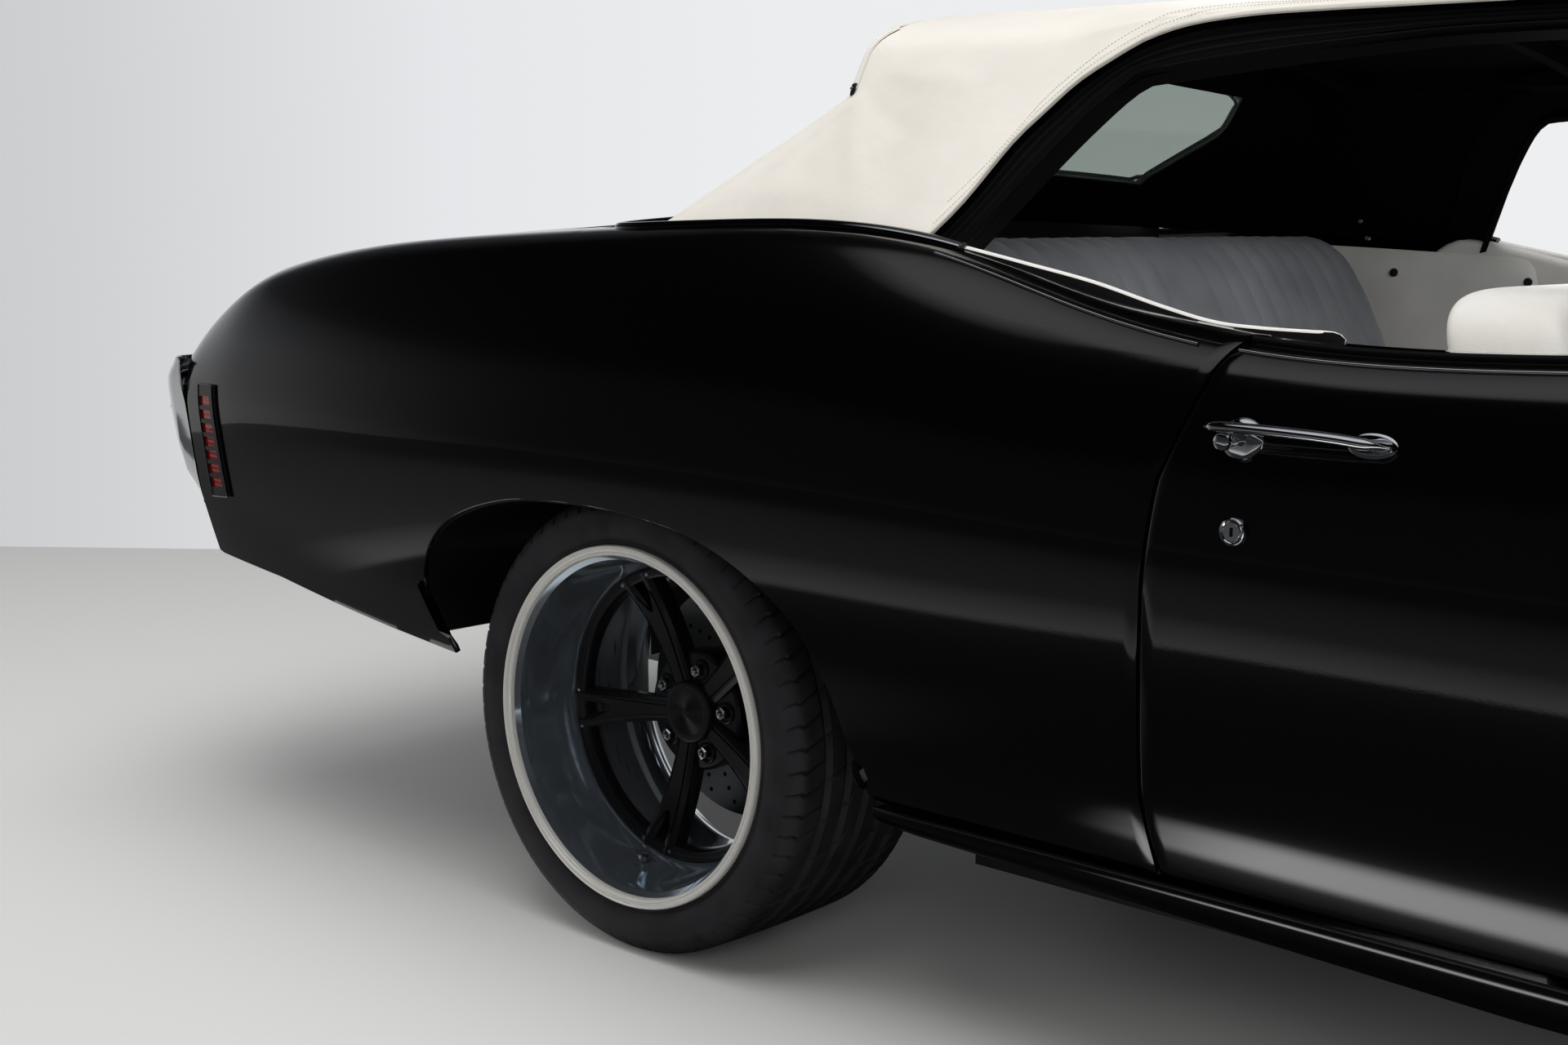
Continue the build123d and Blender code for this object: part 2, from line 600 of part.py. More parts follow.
# The cloth's edge round the side opening, and the inner edge of the rail that seals against the door glass
CLOTH_EDGE = [
    (-908, 920), (-878, 966), (-846, 1013), (-811, 1086), (-782, 1124),
    (-752, 1159), (-712, 1189), (-679, 1208),
    (-630, 1222), (-563, 1230), (300, 1230), (900, 1230), (900, 920),
]
RAIL_INNER = [
    (RAIL_FRONT, 1200), (-100, 1208), (-284, 1208), (-375, 1203), (-510, 1192),
    (-639, 1178), (-684, 1166), (-729, 1120),
    (-781, 1042), (-831, 959), (-850, 920),
]
RAIL_OUTER = [
    (-930, 920), (-866, 1023), (-831, 1096), (-802, 1134), (-770, 1172),
    (-725, 1204), (-690, 1224), (-560, 1250),
    (RAIL_FRONT, 1250),
]
resting = body.moved(Location((0, 0, 0.5)))
with BuildPart() as soft_top:
    add(top_form(0))
    add(top_form(CLOTH), mode=Mode.SUBTRACT)
    add(resting, mode=Mode.SUBTRACT)
    add(mirror(resting, about=Plane.XZ), mode=Mode.SUBTRACT)
    add(side_block(CLOTH_EDGE, 300, 900), mode=Mode.SUBTRACT)
    add(side_block(CLOTH_EDGE, -900, -300), mode=Mode.SUBTRACT)
    add(top_front, mode=Mode.SUBTRACT)
    add(rear_glass_hole, mode=Mode.SUBTRACT)
save(soft_top.part, "soft_top")


def bow(x):
    """One arched bow across the car under the cloth."""
    with BuildPart() as band:
        add(below_arch(CLOTH + 3, x, x + BOW_WIDTH, 550))
        add(below_arch(CLOTH + 24, x - 1, x + BOW_WIDTH + 1, 600), mode=Mode.SUBTRACT)
    return band.part


with BuildPart() as top_rail:
    add(top_form(CLOTH + 1))
    add(top_form(CLOTH + RAIL), mode=Mode.SUBTRACT)
    add(side_block(RAIL_OUTER + RAIL_INNER, 520, 900), mode=Mode.INTERSECT)
    add(resting, mode=Mode.SUBTRACT)
with BuildPart() as top_frame:
    add(top_rail.part)
    add(side_block([(-690, 1196), (-1020, 1204), (-1020, 1222), (-690, 1216)], 535, 550))
    mirror(about=Plane.XZ)
    for x in BOW_PLACES:
        add(bow(x))
save(top_frame.part, "top_frame")

# Seats
SEAT_SPAN = (180.0, 680.0)
BENCH_HALF = 580.0
SEAT_VIEW = [
    (330, 330), (-120, 330), (-140, 440), (-165, 540), (-285, 860), (-278, 900),
    (-243, 926), (-195, 932), (-160, 915),
    (-145, 880), (-70, 600), (-30, 560), (290, 560), (340, 530), (350, 470),
]
BENCH_VIEW = [
    (-858, 440), (-858, 552), (-1000, 552), (-1132, 900), (-1125, 945),
    (-1090, 960), (-1050, 952), (-1010, 925),
    (-930, 784), (-800, 580), (-540, 590), (-505, 560), (-500, 440),
]
with BuildPart() as front_seat:
    add(side_block(SEAT_VIEW, *SEAT_SPAN))
save(both(front_seat.part), "front_seats")
with BuildPart() as rear_bench:
    add(side_block(BENCH_VIEW, -BENCH_HALF, BENCH_HALF))
save(rear_bench.part, "rear_bench")

with BuildPart() as dash:
    add(side_block([(714, 700), (714, 876), (520, 876), (470, 820), (520, 640), (600, 640)], -760, 760))
save(dash.part, "dashboard")

# Mechanical masses
with BuildPart() as engine:
    add(slab(960, 1530, -250, 250, 300, 760))
save(engine.part, "engine_block")
with BuildPart() as fuel_tank:
    add(slab(-2300, -1720, -420, 420, 262, 371))
save(fuel_tank.part, "fuel_tank")
with BuildPart() as radiator:
    add(slab(2140, 2190, -340, 340, 402, 760))
save(radiator.part, "radiator")

PIPE_R = 28.0
PIPE_Y = 250.0
PIPE_Z = 228.0
MUFFLER_R = 62.0
with BuildPart() as exhaust:
    for x_from, x_to, radius in ((-2380, 700, PIPE_R), (-780, -240, MUFFLER_R)):
        with BuildSketch(Plane.YZ.offset(x_from)):
            with Locations((-PIPE_Y, PIPE_Z)):
                Circle(radius)
        extrude(amount=x_to - x_from)
save(both(exhaust.part), "exhaust")

with BuildPart() as trim:
    add(slab(-800, -460, -738, -700, 300, 826))
save(both(trim.part), "side_trims")

# Wheels. Each is drawn about its own axle with the outer lip at y = 0 and inner parts at positive y.
def ring(profile):
    """Profile of radius and inboard distance, turned about the axle."""
    with BuildPart() as turned:
        with BuildSketch(Plane.XY):
            with BuildLine():
                Polyline(*profile, close=True)
            make_face()
        revolve(axis=Axis.Y)
    return turned.part


HUB_DROP = 36.0
HUB_THICK = 34.0
SPOKE_START = 187.0
SPOKE_IN = 36.0
SPOKE_OUT = 204.0
SPOKE_THICK = 26.0


def spoke_rise(r):
    """How far a spoke's face lies behind the wheel centre's outer ring at a radius."""
    return 4 + 30 * (1 - max(0.0, (r - 38) / 162) ** 2.4)


def spoke_outline(angle, side):
    """One curved bar of a pair in the wheel's plane: close to its twin at the hub, spread at the ring."""
    inner, outer = [], []
    for step in range(6):
        r = SPOKE_IN + (SPOKE_OUT - SPOKE_IN) * step / 5
        t = (r - 38) / 162
        middle = 8.6 + 5.5 * t + 6.5 * t**3
        half = 8.3 + 2.4 * t * t
        inner.append((r, side * (middle - half)))
        outer.append((r, side * (middle + half)))
    c, s = math.cos(math.radians(angle)), math.sin(math.radians(angle))
    return [(r * c - w * s, r * s + w * c) for r, w in inner + outer[::-1]]


def rim_solid(width, ring_at):
    """Deep-dish rim with a dished centre of five double spokes; ring_at is its depth behind the lip."""
    hub_at = ring_at + HUB_DROP
    dish = [(219, 48), (213, 0.75 * ring_at)] if ring_at > 80 else [(216, 34)]
    radii = [SPOKE_IN + (SPOKE_OUT - SPOKE_IN) * i / 8 for i in range(9)]
    with BuildPart() as centre:
        for turn in range(LUG_COUNT):
            angle = SPOKE_START + 360 / LUG_COUNT * turn
            with BuildSketch(Plane.XZ.offset(-hub_at - HUB_THICK)):
                for side in (-1, 1):
                    with BuildLine():
                        Polyline(*spoke_outline(angle, side), close=True)
                    make_face()
                with Locations(Location((0, 0), angle)):
                    with Locations((92, 0)):
                        Rectangle(112, 18)
            extrude(amount=hub_at + HUB_THICK)
        face = [(r, ring_at + spoke_rise(r)) for r in radii]
        add(ring(face + [(r, depth + SPOKE_THICK) for r, depth in face[::-1]]), mode=Mode.INTERSECT)
    with BuildPart() as rim:
        add(ring(
            [(231.6, 2.5), (236, 2.5), (240, 0), (LIP_R, 2), (LIP_R, 13),
             (SEAT_R, 17), (SEAT_R, 40), (226, 48)]
            + [(212, ring_at + 14), (208, ring_at + 40), (208, width - 62), (SEAT_R - 2, width - 44)]
            + [(SEAT_R, width - 18), (LIP_R, width - 13), (LIP_R, width), (238, width), (221, width - 30)]
            + [(200, width - 74), (199, ring_at + 24), (188, ring_at + 22),
               (190, ring_at + 3), (196, ring_at)]
            + [(205, ring_at)] + dish[::-1] + [(221.5, 26), (223, 12), (231.6, 9)]
        ))
        add(centre.part)
        add(ring([
            (0, ring_at + 18), (40, ring_at + 19), (44, ring_at + 24), (44, hub_at),
            (82, hub_at), (85, hub_at + 5),
            (85, hub_at + HUB_THICK), (HUB_BORE_R, hub_at + HUB_THICK),
            (HUB_BORE_R, hub_at + 10), (0, hub_at + 10),
        ]))
        with BuildSketch(Plane.XZ.offset(-hub_at)):
            with PolarLocations(LUG_CIRCLE / 2, LUG_COUNT, start_angle=SPOKE_START - 180 / LUG_COUNT):
                RegularPolygon(9.2, 6)
        extrude(amount=15)
    return rim.part


def tyre_solid(width, tread):
    """Tyre carcass with a rounded shoulder, standing over the rim's seats."""
    edge = (width - tread) / 2
    with BuildPart() as carcass:
        with BuildSketch(Plane.XY):
            with BuildLine():
                Polyline(
                    (SEAT_R + 1, 22), (LIP_R + 2, 14), (LIP_R + 14, 7), (282, 4),
                    (300, 12), (TYRE_R - 2, edge + 10),
                    (TYRE_R, edge + 26), (TYRE_R, width - edge - 26),
                    (TYRE_R - 2, width - edge - 10), (300, width - 12),
                    (282, width - 4), (LIP_R + 14, width - 7), (LIP_R + 2, width - 14),
                    (SEAT_R + 1, width - 22),
                    (SEAT_R + 1, width - 60), (SEAT_R + 8, width - 60), (SEAT_R + 8, 60),
                    (SEAT_R + 1, 60), close=True,
                )
            make_face()
        revolve(axis=Axis.Y)
    return carcass.part


ROTOR_R = 168.0
ROTOR_THICK = 22.0


def rotor_solid(hub_at, face):
    """Brake rotor and its hat, bolted behind the wheel's hub; face is the rotor's depth behind the lip."""
    back = hub_at + HUB_THICK
    return ring([
        (HUB_BORE_R, back), (80, back), (80, face), (ROTOR_R, face), (ROTOR_R, face + ROTOR_THICK),
        (72, face + ROTOR_THICK), (72, back + 8), (HUB_BORE_R, back + 8),
    ])


def caliper_solid(face, side):
    """Caliper straddling the rotor with running clearance; side is +1 ahead of the axle and -1 behind it."""
    back = face + ROTOR_THICK
    with BuildPart() as caliper:
        add(ring([(112, face - 14), (190, face - 14), (190, back + 14), (112, back + 14)]))
        add(ring([(100, face - 6), (174, face - 6), (174, back + 6), (100, back + 6)]), mode=Mode.SUBTRACT)
        add(slab(40 if side > 0 else -300, 300 if side > 0 else -40, 0, 400, -70, 70), mode=Mode.INTERSECT)
        add(slab(20 if side > 0 else -150, 150 if side > 0 else -20, back + 6, back + 14, -40, 40))
    return caliper.part


# Rows: which axle, station, lip's half width, rim width, depths of the centre's ring and of the rotor
WHEELS = [
    ("rear", X_REAR, REAR_LIP_Y, REAR_RIM_W, REAR_RING, REAR_ROTOR),
    ("front", X_FRONT, FRONT_LIP_Y, FRONT_RIM_W, FRONT_RING, FRONT_ROTOR),
]
for end, x, lip_y, width, ring_at, rotor_at in WHEELS:
    place = Location((x, -lip_y, AXLE_Z))
    for name, shape in (
        (f"wheel_{end}", rim_solid(width, ring_at) + rotor_solid(ring_at + HUB_DROP, rotor_at)),
        (f"tyre_{end}", tyre_solid(width, width - 44)),
    ):
        right = shape.moved(place)
        save(right, f"{name}_right")
        save(mirror(right, about=Plane.XZ), f"{name}_left")

# Rear axle with its differential and calipers
SPINDLE_R = 30.0
AXLE_TUBE_R = 42.0
DIFF_R = 135.0
rear_hub_y = REAR_LIP_Y - REAR_RING - HUB_DROP
with BuildPart() as half_axle:
    add(tube_y(AXLE_TUBE_R, X_REAR, AXLE_Z, 0, REAR_LIP_Y - REAR_ROTOR - ROTOR_THICK - 10))
    add(tube_y(SPINDLE_R, X_REAR, AXLE_Z, 0, rear_hub_y - 14))
    add(caliper_solid(REAR_ROTOR, 1).moved(Location((X_REAR, -REAR_LIP_Y, AXLE_Z))))
with BuildPart() as rear_axle:
    add(half_axle.part)
    mirror(about=Plane.XZ)
    with Locations((X_REAR, 0, AXLE_Z)):
        Sphere(DIFF_R)
save(rear_axle.part, "rear_axle")

# Front knuckles with their spindles and calipers, turning about the king axis
front_hub_y = FRONT_LIP_Y - FRONT_RING - HUB_DROP
with BuildPart() as knuckle:
    add(slab(X_FRONT - 40, X_FRONT + 40, -752, -715, 190, 460))
    add(tube_y(SPINDLE_R, X_FRONT, AXLE_Z, 740, front_hub_y - 14))
    add(caliper_solid(FRONT_ROTOR, -1).moved(Location((X_FRONT, -FRONT_LIP_Y, AXLE_Z))))
save(knuckle.part, "knuckle_right")
save(mirror(knuckle.part, about=Plane.XZ), "knuckle_left")


def arm_solid(y_in, z_from, z_to):
    """Suspension arm tapering from its inner pivots to the ball joint on the king axis."""
    x = X_FRONT
    arm = plan_block([(x - 58, -y_in), (x - 9, -KING_Y), (x + 9, -KING_Y), (x + 58, -y_in)], z_from, z_to)
    with BuildPart() as joint:
        with BuildSketch(Plane.XY.offset(z_from)):
            with Locations((x, -KING_Y)):
                Circle(9)
        extrude(amount=z_to - z_from)
    return arm + joint.part


with BuildPart() as arms:
    add(arm_solid(440, 165, 184))
    add(arm_solid(470, 466, 484))
    add(slab(X_FRONT - 58, X_FRONT + 58, -470, -440, 395, 484))
save(both(arms.part), "suspension_arms")

# Side markers and door fittings, each standing on the body's skin
def on_skin(outline, proud):
    """Raised patch on the right-hand side, its outer face a set distance outside the skin."""
    with BuildPart() as patch:
        add(body.moved(Location((0, -proud, 0))))
        add(side_block(outline, 700, 1000), mode=Mode.INTERSECT)
        add(body, mode=Mode.SUBTRACT)
    return patch.part


TRIM_PROUD = 5.0
HANDLE_PROUD = 30.0
rear_marker = on_skin([(-2308, 702), (-2249, 704), (-2204, 525), (-2261, 521)], TRIM_PROUD)
front_marker = on_skin([(2240, 690), (2340, 690), (2340, 650), (2240, 650)], TRIM_PROUD)
markers = Compound([both(rear_marker), both(front_marker)])
save(Compound(markers.solids()), "side_markers")

LOCK_PLACE = (-336, 690)
LOCK_R = 14.0
handle = on_skin([(-376, 776), (-186, 776), (-186, 800), (-376, 800)], HANDLE_PROUD)
turns = [i * math.pi / 8 for i in range(16)]
lock_outline = [(LOCK_PLACE[0] + LOCK_R * math.cos(a), LOCK_PLACE[1] + LOCK_R * math.sin(a)) for a in turns]
lock = on_skin(lock_outline, TRIM_PROUD)
save(Compound([handle.solid(), lock.solid()]), "door_fittings_right")
with BuildPart() as mirror_head:
    add(slab(520, 560, 866, 955, 940, 1006))
    add(slab(530, 550, 872, 890, 884, 950))
handle_left = mirror(handle.solid(), about=Plane.XZ)
lock_left = mirror(lock.solid(), about=Plane.XZ)
save(Compound([handle_left, lock_left, mirror_head.part]), "door_fittings_left")

# Steering column and wheel, on the left of the cabin
COLUMN_TILT = math.radians(24)
COLUMN_START = (440, 370, 800)
COLUMN_LENGTH = 150.0
STEERING_R = 185.0
column_way = (-math.cos(COLUMN_TILT), 0, math.sin(COLUMN_TILT))
column_axis = Plane(origin=COLUMN_START, x_dir=(0, 1, 0), z_dir=column_way)
with BuildPart() as column:
    with BuildSketch(column_axis):
        Circle(28)
    extrude(amount=COLUMN_LENGTH)
save(column.part, "steering_column")
with BuildPart() as steering_wheel:
    with BuildSketch(column_axis.offset(COLUMN_LENGTH + 2)):
        Circle(40)
    extrude(amount=30)
    with BuildSketch(column_axis.offset(COLUMN_LENGTH + 10)):
        Circle(STEERING_R)
        Circle(STEERING_R - 25, mode=Mode.SUBTRACT)
        with PolarLocations(0, 3):
            with Locations((95, 0)):
                Rectangle(150, 26)
    extrude(amount=18)
save(steering_wheel.part, "steering_wheel")
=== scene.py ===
import bmesh
import bpy
import math
import numpy as np
from mathutils import Matrix


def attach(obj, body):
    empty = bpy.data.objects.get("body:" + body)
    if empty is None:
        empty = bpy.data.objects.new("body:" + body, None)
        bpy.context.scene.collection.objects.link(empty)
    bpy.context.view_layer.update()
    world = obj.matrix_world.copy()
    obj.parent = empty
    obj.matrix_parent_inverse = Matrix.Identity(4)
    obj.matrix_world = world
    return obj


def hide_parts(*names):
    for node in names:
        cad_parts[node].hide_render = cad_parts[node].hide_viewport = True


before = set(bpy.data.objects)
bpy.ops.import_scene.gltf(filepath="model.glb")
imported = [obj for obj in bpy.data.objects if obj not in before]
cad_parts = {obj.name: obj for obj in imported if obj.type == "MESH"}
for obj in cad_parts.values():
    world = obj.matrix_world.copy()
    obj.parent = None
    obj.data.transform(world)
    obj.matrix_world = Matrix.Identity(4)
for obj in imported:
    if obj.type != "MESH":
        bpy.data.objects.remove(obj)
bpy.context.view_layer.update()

# Driving sizes in millimetres, the same as the CAD model's; meshes are scaled to metres when they are built
X_REAR = -1257.5
X_FRONT = 1587.5
AXLE_Z = 313.0
LUG_R = 60.325
SPOKE_START = math.radians(187.0)
SPOKE_STEP = math.radians(72.0)
LUG_TURN = math.radians(36.0)
RING_BOLT_TURN = math.radians(7.6)
TYRE_R = 313.0
MM = 0.001
ACROSS = np.array([1, -1, 1])


# Colour and node helpers
def colour(code):
    """sRGB hex code to linear RGBA."""
    values = [int(code[i:i + 2], 16) / 255 for i in (1, 3, 5)]
    linear = [v / 12.92 if v <= 0.04045 else ((v + 0.055) / 1.055) ** 2.4 for v in values]
    return (*linear, 1.0)


def add_node(tree, kind, settings=None, inputs=None):
    """Adds one node, sets its properties, and sets or links its inputs by name or number."""
    made = tree.nodes.new(kind)
    for key, value in (settings or {}).items():
        setattr(made, key, value)
    for key, value in (inputs or {}).items():
        if isinstance(value, bpy.types.NodeSocket):
            tree.links.new(value, made.inputs[key])
        else:
            made.inputs[key].default_value = value
    return made


def material(name, base, rough, **sockets):
    """A Principled material with constants on its own sockets; returns material, tree, shader."""
    made = bpy.data.materials.new(name)
    made.use_nodes = True
    tree = made.node_tree
    shader = tree.nodes["Principled BSDF"]
    shader.inputs["Base Color"].default_value = colour(base)
    shader.inputs["Roughness"].default_value = rough
    for key, value in sockets.items():
        shader.inputs[key.replace("_", " ")].default_value = value
    return made, tree, shader


def object_coords(tree, scale=(1, 1, 1)):
    """Object coordinates in metres, stretched by a Mapping node."""
    source = add_node(tree, "ShaderNodeTexCoord")
    inputs = {"Vector": source.outputs["Object"], "Scale": scale}
    return add_node(tree, "ShaderNodeMapping", inputs=inputs).outputs[0]


def noise(tree, vector, scale, detail=2.0, rough=0.5):
    """Noise value over a vector; scale is in repeats to the metre."""
    return add_node(
        tree, "ShaderNodeTexNoise", inputs={"Vector": vector, "Scale": scale, "Detail": detail,
                                            "Roughness": rough}
    ).outputs["Fac"]


def cells(tree, vector, scale):
    """Distance to the nearest cell's middle, for pebbled grain; scale is in cells to the metre."""
    inputs = {"Vector": vector, "Scale": scale}
    return add_node(tree, "ShaderNodeTexVoronoi", inputs=inputs).outputs["Distance"]


def bump(tree, shader, height, strength, distance, normal=None, socket="Normal"):
    """Bump from a height, on top of another bump's normal if one is given, linked to the shader's normal or
    its coat's; distance in metres."""
    inputs = {"Height": height, "Strength": strength, "Distance": distance}
    if normal is not None:
        inputs["Normal"] = normal
    made = add_node(tree, "ShaderNodeBump", inputs=inputs)
    tree.links.new(made.outputs[0], shader.inputs[socket])
    return made.outputs[0]


def ramp(tree, fac, stops):
    """Colour ramp with (position, hex) stops."""
    made = add_node(tree, "ShaderNodeValToRGB", inputs={"Fac": fac})
    for index, (place, code) in enumerate(stops):
        stop = made.color_ramp.elements[index] if index < 2 else made.color_ramp.elements.new(place)
        stop.position = place
        stop.color = colour(code)
    return made.outputs["Color"]


def spread(tree, fac, low, high):
    """Maps a 0 to 1 value onto a range."""
    return add_node(tree, "ShaderNodeMapRange", inputs={0: fac, 3: low, 4: high}).outputs[0]


def between(tree, value, start, full, kind="LINEAR"):
    """Step from 0 at start to 1 at full, straight or, as SMOOTHSTEP, soft at both ends."""
    limits = {0: value, 1: start, 2: full, 3: 0.0, 4: 1.0}
    return add_node(tree, "ShaderNodeMapRange", {"interpolation_type": kind}, limits).outputs[0]


# Materials
def black_lacquer():
    """Two-stage acrylic lacquer, polished: near-black base under a clear coat with faint orange peel."""
    gloss = {"Specular_IOR_Level": 0.2, "Coat_Weight": 1.0, "Coat_Roughness": 0.012}
    made, tree, shader = material("black_lacquer", "#020202", 0.2, **gloss)
    peel = noise(tree, object_coords(tree), 420.0, 1.0)
    # 2.4 mm ripple, a few microns high, drawn just strong enough to soften far reflections
    bump(tree, shader, peel, 0.05, 0.0002, socket="Coat Normal")
    return made


def chrome_plate():
    """Decorative chromium over nickel on stamped steel: mirror bright with a slight blue cast."""
    made, tree, shader = material("chrome_plate", "#D5D8DC", 0.05, Metallic=1.0)
    haze = noise(tree, object_coords(tree), 9.0, 4.0)
    tree.links.new(spread(tree, haze, 0.035, 0.085), shader.inputs["Roughness"])
    return made


def polished_aluminium():
    """Forged aluminium barrel, lathe polished: bright, with faint turning haze round the axle."""
    made, tree, shader = material("polished_aluminium", "#C4CFDA", 0.06, Metallic=0.94)
    haze = noise(tree, object_coords(tree, (1, 30, 1)), 14.0, 3.0)
    tree.links.new(spread(tree, haze, 0.04, 0.11), shader.inputs["Roughness"])
    return made


def satin_lip():
    """Machined and scuffed rim lip: pale satin metal with fine lines along its turning."""
    made, tree, shader = material("satin_lip", "#E9E6E0", 0.3, Metallic=0.5)
    lines = noise(tree, object_coords(tree, (1, 160, 1)), 12.0, 2.0)
    tree.links.new(spread(tree, lines, 0.22, 0.36), shader.inputs["Roughness"])
    bump(tree, shader, lines, 0.08, 0.0002)
    return made


def satin_black_centre():
    """Powder-coated forged wheel centre: satin black with soft broad highlights."""
    made, tree, shader = material("satin_black_centre", "#0B0B0D", 0.26, Coat_Weight=0.25, Coat_Roughness=0.2)
    bump(tree, shader, noise(tree, object_coords(tree), 700.0, 2.0), 0.05, 0.0002)
    return made


def tyre_rubber():
    """Carbon-black road rubber: dull with a soft sheen and mottled bloom."""
    made, tree, shader = material("tyre_rubber", "#222225", 0.62, Specular_IOR_Level=0.45)
    coords = object_coords(tree)
    mottle = noise(tree, coords, 22.0, 5.0, 0.6)
    tree.links.new(ramp(tree, mottle, [(0.3, "#1B1B1E"), (0.75, "#29292C")]), shader.inputs["Base Color"])
    tree.links.new(spread(tree, mottle, 0.52, 0.7), shader.inputs["Roughness"])
    bump(tree, shader, noise(tree, coords, 900.0, 3.0), 0.25, 0.0003)
    return made


def top_cloth():
    """Coated ivory topping: fine pinpoint grain, soft sheen, faint patchy soiling."""
    made, tree, shader = material("top_cloth", "#E2DDD4", 0.55, Specular_IOR_Level=0.35, Sheen_Weight=0.12)
    coords = object_coords(tree)
    tone = noise(tree, coords, 3.2, 5.0, 0.6)
    tree.links.new(ramp(tree, tone, [(0.25, "#D8D3C9"), (0.7, "#E6E1D8")]), shader.inputs["Base Color"])
    # the real pinpoint grain is 0.6 mm; drawn at 1.1 mm so that it shows
    grain = bump(tree, shader, cells(tree, coords, 900.0), 0.22, 0.0004)
    bump(tree, shader, noise(tree, coords, 34.0, 4.0), 0.25, 0.003, grain)
    return made


def seat_leather(name, base, dark, light):
    """Top-grain automotive leather: pebbled grain at 1.5 mm, soft satin, colour a little uneven."""
    made, tree, shader = material(name, base, 0.42, Specular_IOR_Level=0.45, Sheen_Weight=0.08)
    coords = object_coords(tree)
    tone = noise(tree, coords, 8.0, 4.0)
    tree.links.new(ramp(tree, tone, [(0.3, dark), (0.7, light)]), shader.inputs["Base Color"])
    grain = bump(tree, shader, cells(tree, coords, 650.0), 0.3, 0.0005)
    bump(tree, shader, noise(tree, coords, 60.0, 3.0), 0.12, 0.002, grain)
    return made


def plain(name, base, rough, grain=500.0, depth=0.0003, **sockets):
    """A moulded or painted surface with fine grain and slightly uneven gloss."""
    made, tree, shader = material(name, base, rough, **sockets)
    value = noise(tree, object_coords(tree), grain, 3.0)
    tree.links.new(spread(tree, value, rough * 0.85, min(1.0, rough * 1.2)), shader.inputs["Roughness"])
    bump(tree, shader, value, 0.2, depth)
    return made


def tinted_glass():
    """Laminated green-tinted safety glass, polished both sides."""
    made, tree, shader = material("tinted_glass", "#C9D6CE", 0.0, Transmission_Weight=1.0, IOR=1.5)
    smear = noise(tree, object_coords(tree), 5.0, 4.0)
    tree.links.new(spread(tree, smear, 0.0, 0.03), shader.inputs["Roughness"])
    return made


def window_tint():
    """Tinted sheet glass bonded in the cloth: a grey-green pane that lets most light straight through."""
    pane = {"Transmission_Weight": 0.9, "IOR": 1.2, "Specular_IOR_Level": 0.3}
    made, tree, shader = material("window_tint", "#B7C4BD", 0.03, **pane)
    smear = noise(tree, object_coords(tree), 5.0, 4.0)
    tree.links.new(spread(tree, smear, 0.0, 0.04), shader.inputs["Roughness"])
    return made


def lens(name, base):
    """Injection-moulded acrylic lens with fine ribs behind the face."""
    made, tree, shader = material(name, base, 0.08, Transmission_Weight=0.55, IOR=1.49, Coat_Weight=0.6)
    ribs = add_node(
        tree, "ShaderNodeTexWave", {"wave_type": "BANDS", "bands_direction": "Z"},
        {"Vector": object_coords(tree), "Scale": 40.0, "Distortion": 0.0},
    )
    bump(tree, shader, ribs.outputs["Fac"], 0.4, 0.001)
    return made


PAINT = black_lacquer()
CHROME = chrome_plate()
BARREL = polished_aluminium()
LIP = satin_lip()
CENTRE = satin_black_centre()
RUBBER = tyre_rubber()
CLOTH = top_cloth()
IVORY = seat_leather("ivory_leather", "#EAE7E1", "#E2DED7", "#F0EEE9")
GREY = seat_leather("grey_leather", "#777A7F", "#6E7176", "#82858A")
PALE = seat_leather("pale_leather", "#D8D6D1", "#CECCC7", "#DFDDD9")
# black rubber for seals and beads; the same black also paints the shade inside the brake discs' drilled
# holes, a bolt hole in the bumper and the keyholes
SEAL_AND_HOLE_SHADE = plain("black_rubber_and_hole_shade", "#050506", 0.55, Specular_IOR_Level=0.2)
CHASSIS = plain("chassis_enamel", "#121213", 0.5, 260.0)
GRAINED = plain("grained_vinyl", "#161617", 0.55, 420.0)
IRON = plain("machined_iron", "#8D8B88", 0.34, 300.0, Metallic=1.0)
CAST = plain("cast_iron", "#2B2B2C", 0.6, 160.0, 0.0006, Metallic=0.6)
STEEL = plain("aluminised_steel", "#8C8D8E", 0.38, 120.0, Metallic=1.0)
THREAD = plain("ivory_thread", "#B3AEA2", 0.7)
GREY_THREAD = plain("grey_thread", "#4E5054", 0.7)
GUNMETAL = plain("grey_bezel_enamel", "#161618", 0.3)
SATIN = plain("satin_black_enamel", "#0C0C0D", 0.32, 300.0)
LINING = plain("headlining_cloth", "#040404", 0.9, 800.0, Specular_IOR_Level=0.2)
DARK_TRIM = plain("crackle_black", "#101011", 0.4, 700.0)
GLASS = tinted_glass()
TINT = window_tint()
RED = lens("red_lens", "#B01410")
CLEAR = lens("clear_lens", "#E8ECEE")
AMBER = lens("amber_lens", "#D8741A")


# Mesh helpers. Faces that meet below this angle, in degrees, are shaded as one
SMOOTH_BELOW = 38.0


def build(name, verts, faces, finish, body, nodes=(), smooth_below=SMOOTH_BELOW):
    """Makes a mesh object from arrays, smooth with sharp edges past an angle, riding on a body."""
    mesh = bpy.data.meshes.new(name)
    mesh.from_pydata(np.asarray(verts, dtype=float).reshape(-1, 3).tolist(), [], [list(f) for f in faces])
    mesh.validate()
    mesh.polygons.foreach_set("use_smooth", np.ones(len(mesh.polygons), dtype=bool))
    mesh.set_sharp_from_angle(angle=math.radians(smooth_below))
    mesh.materials.append(finish)
    made = bpy.data.objects.new(name, mesh)
    bpy.context.scene.collection.objects.link(made)
    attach(made, body)
    if nodes:
        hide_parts(*nodes)
    return made


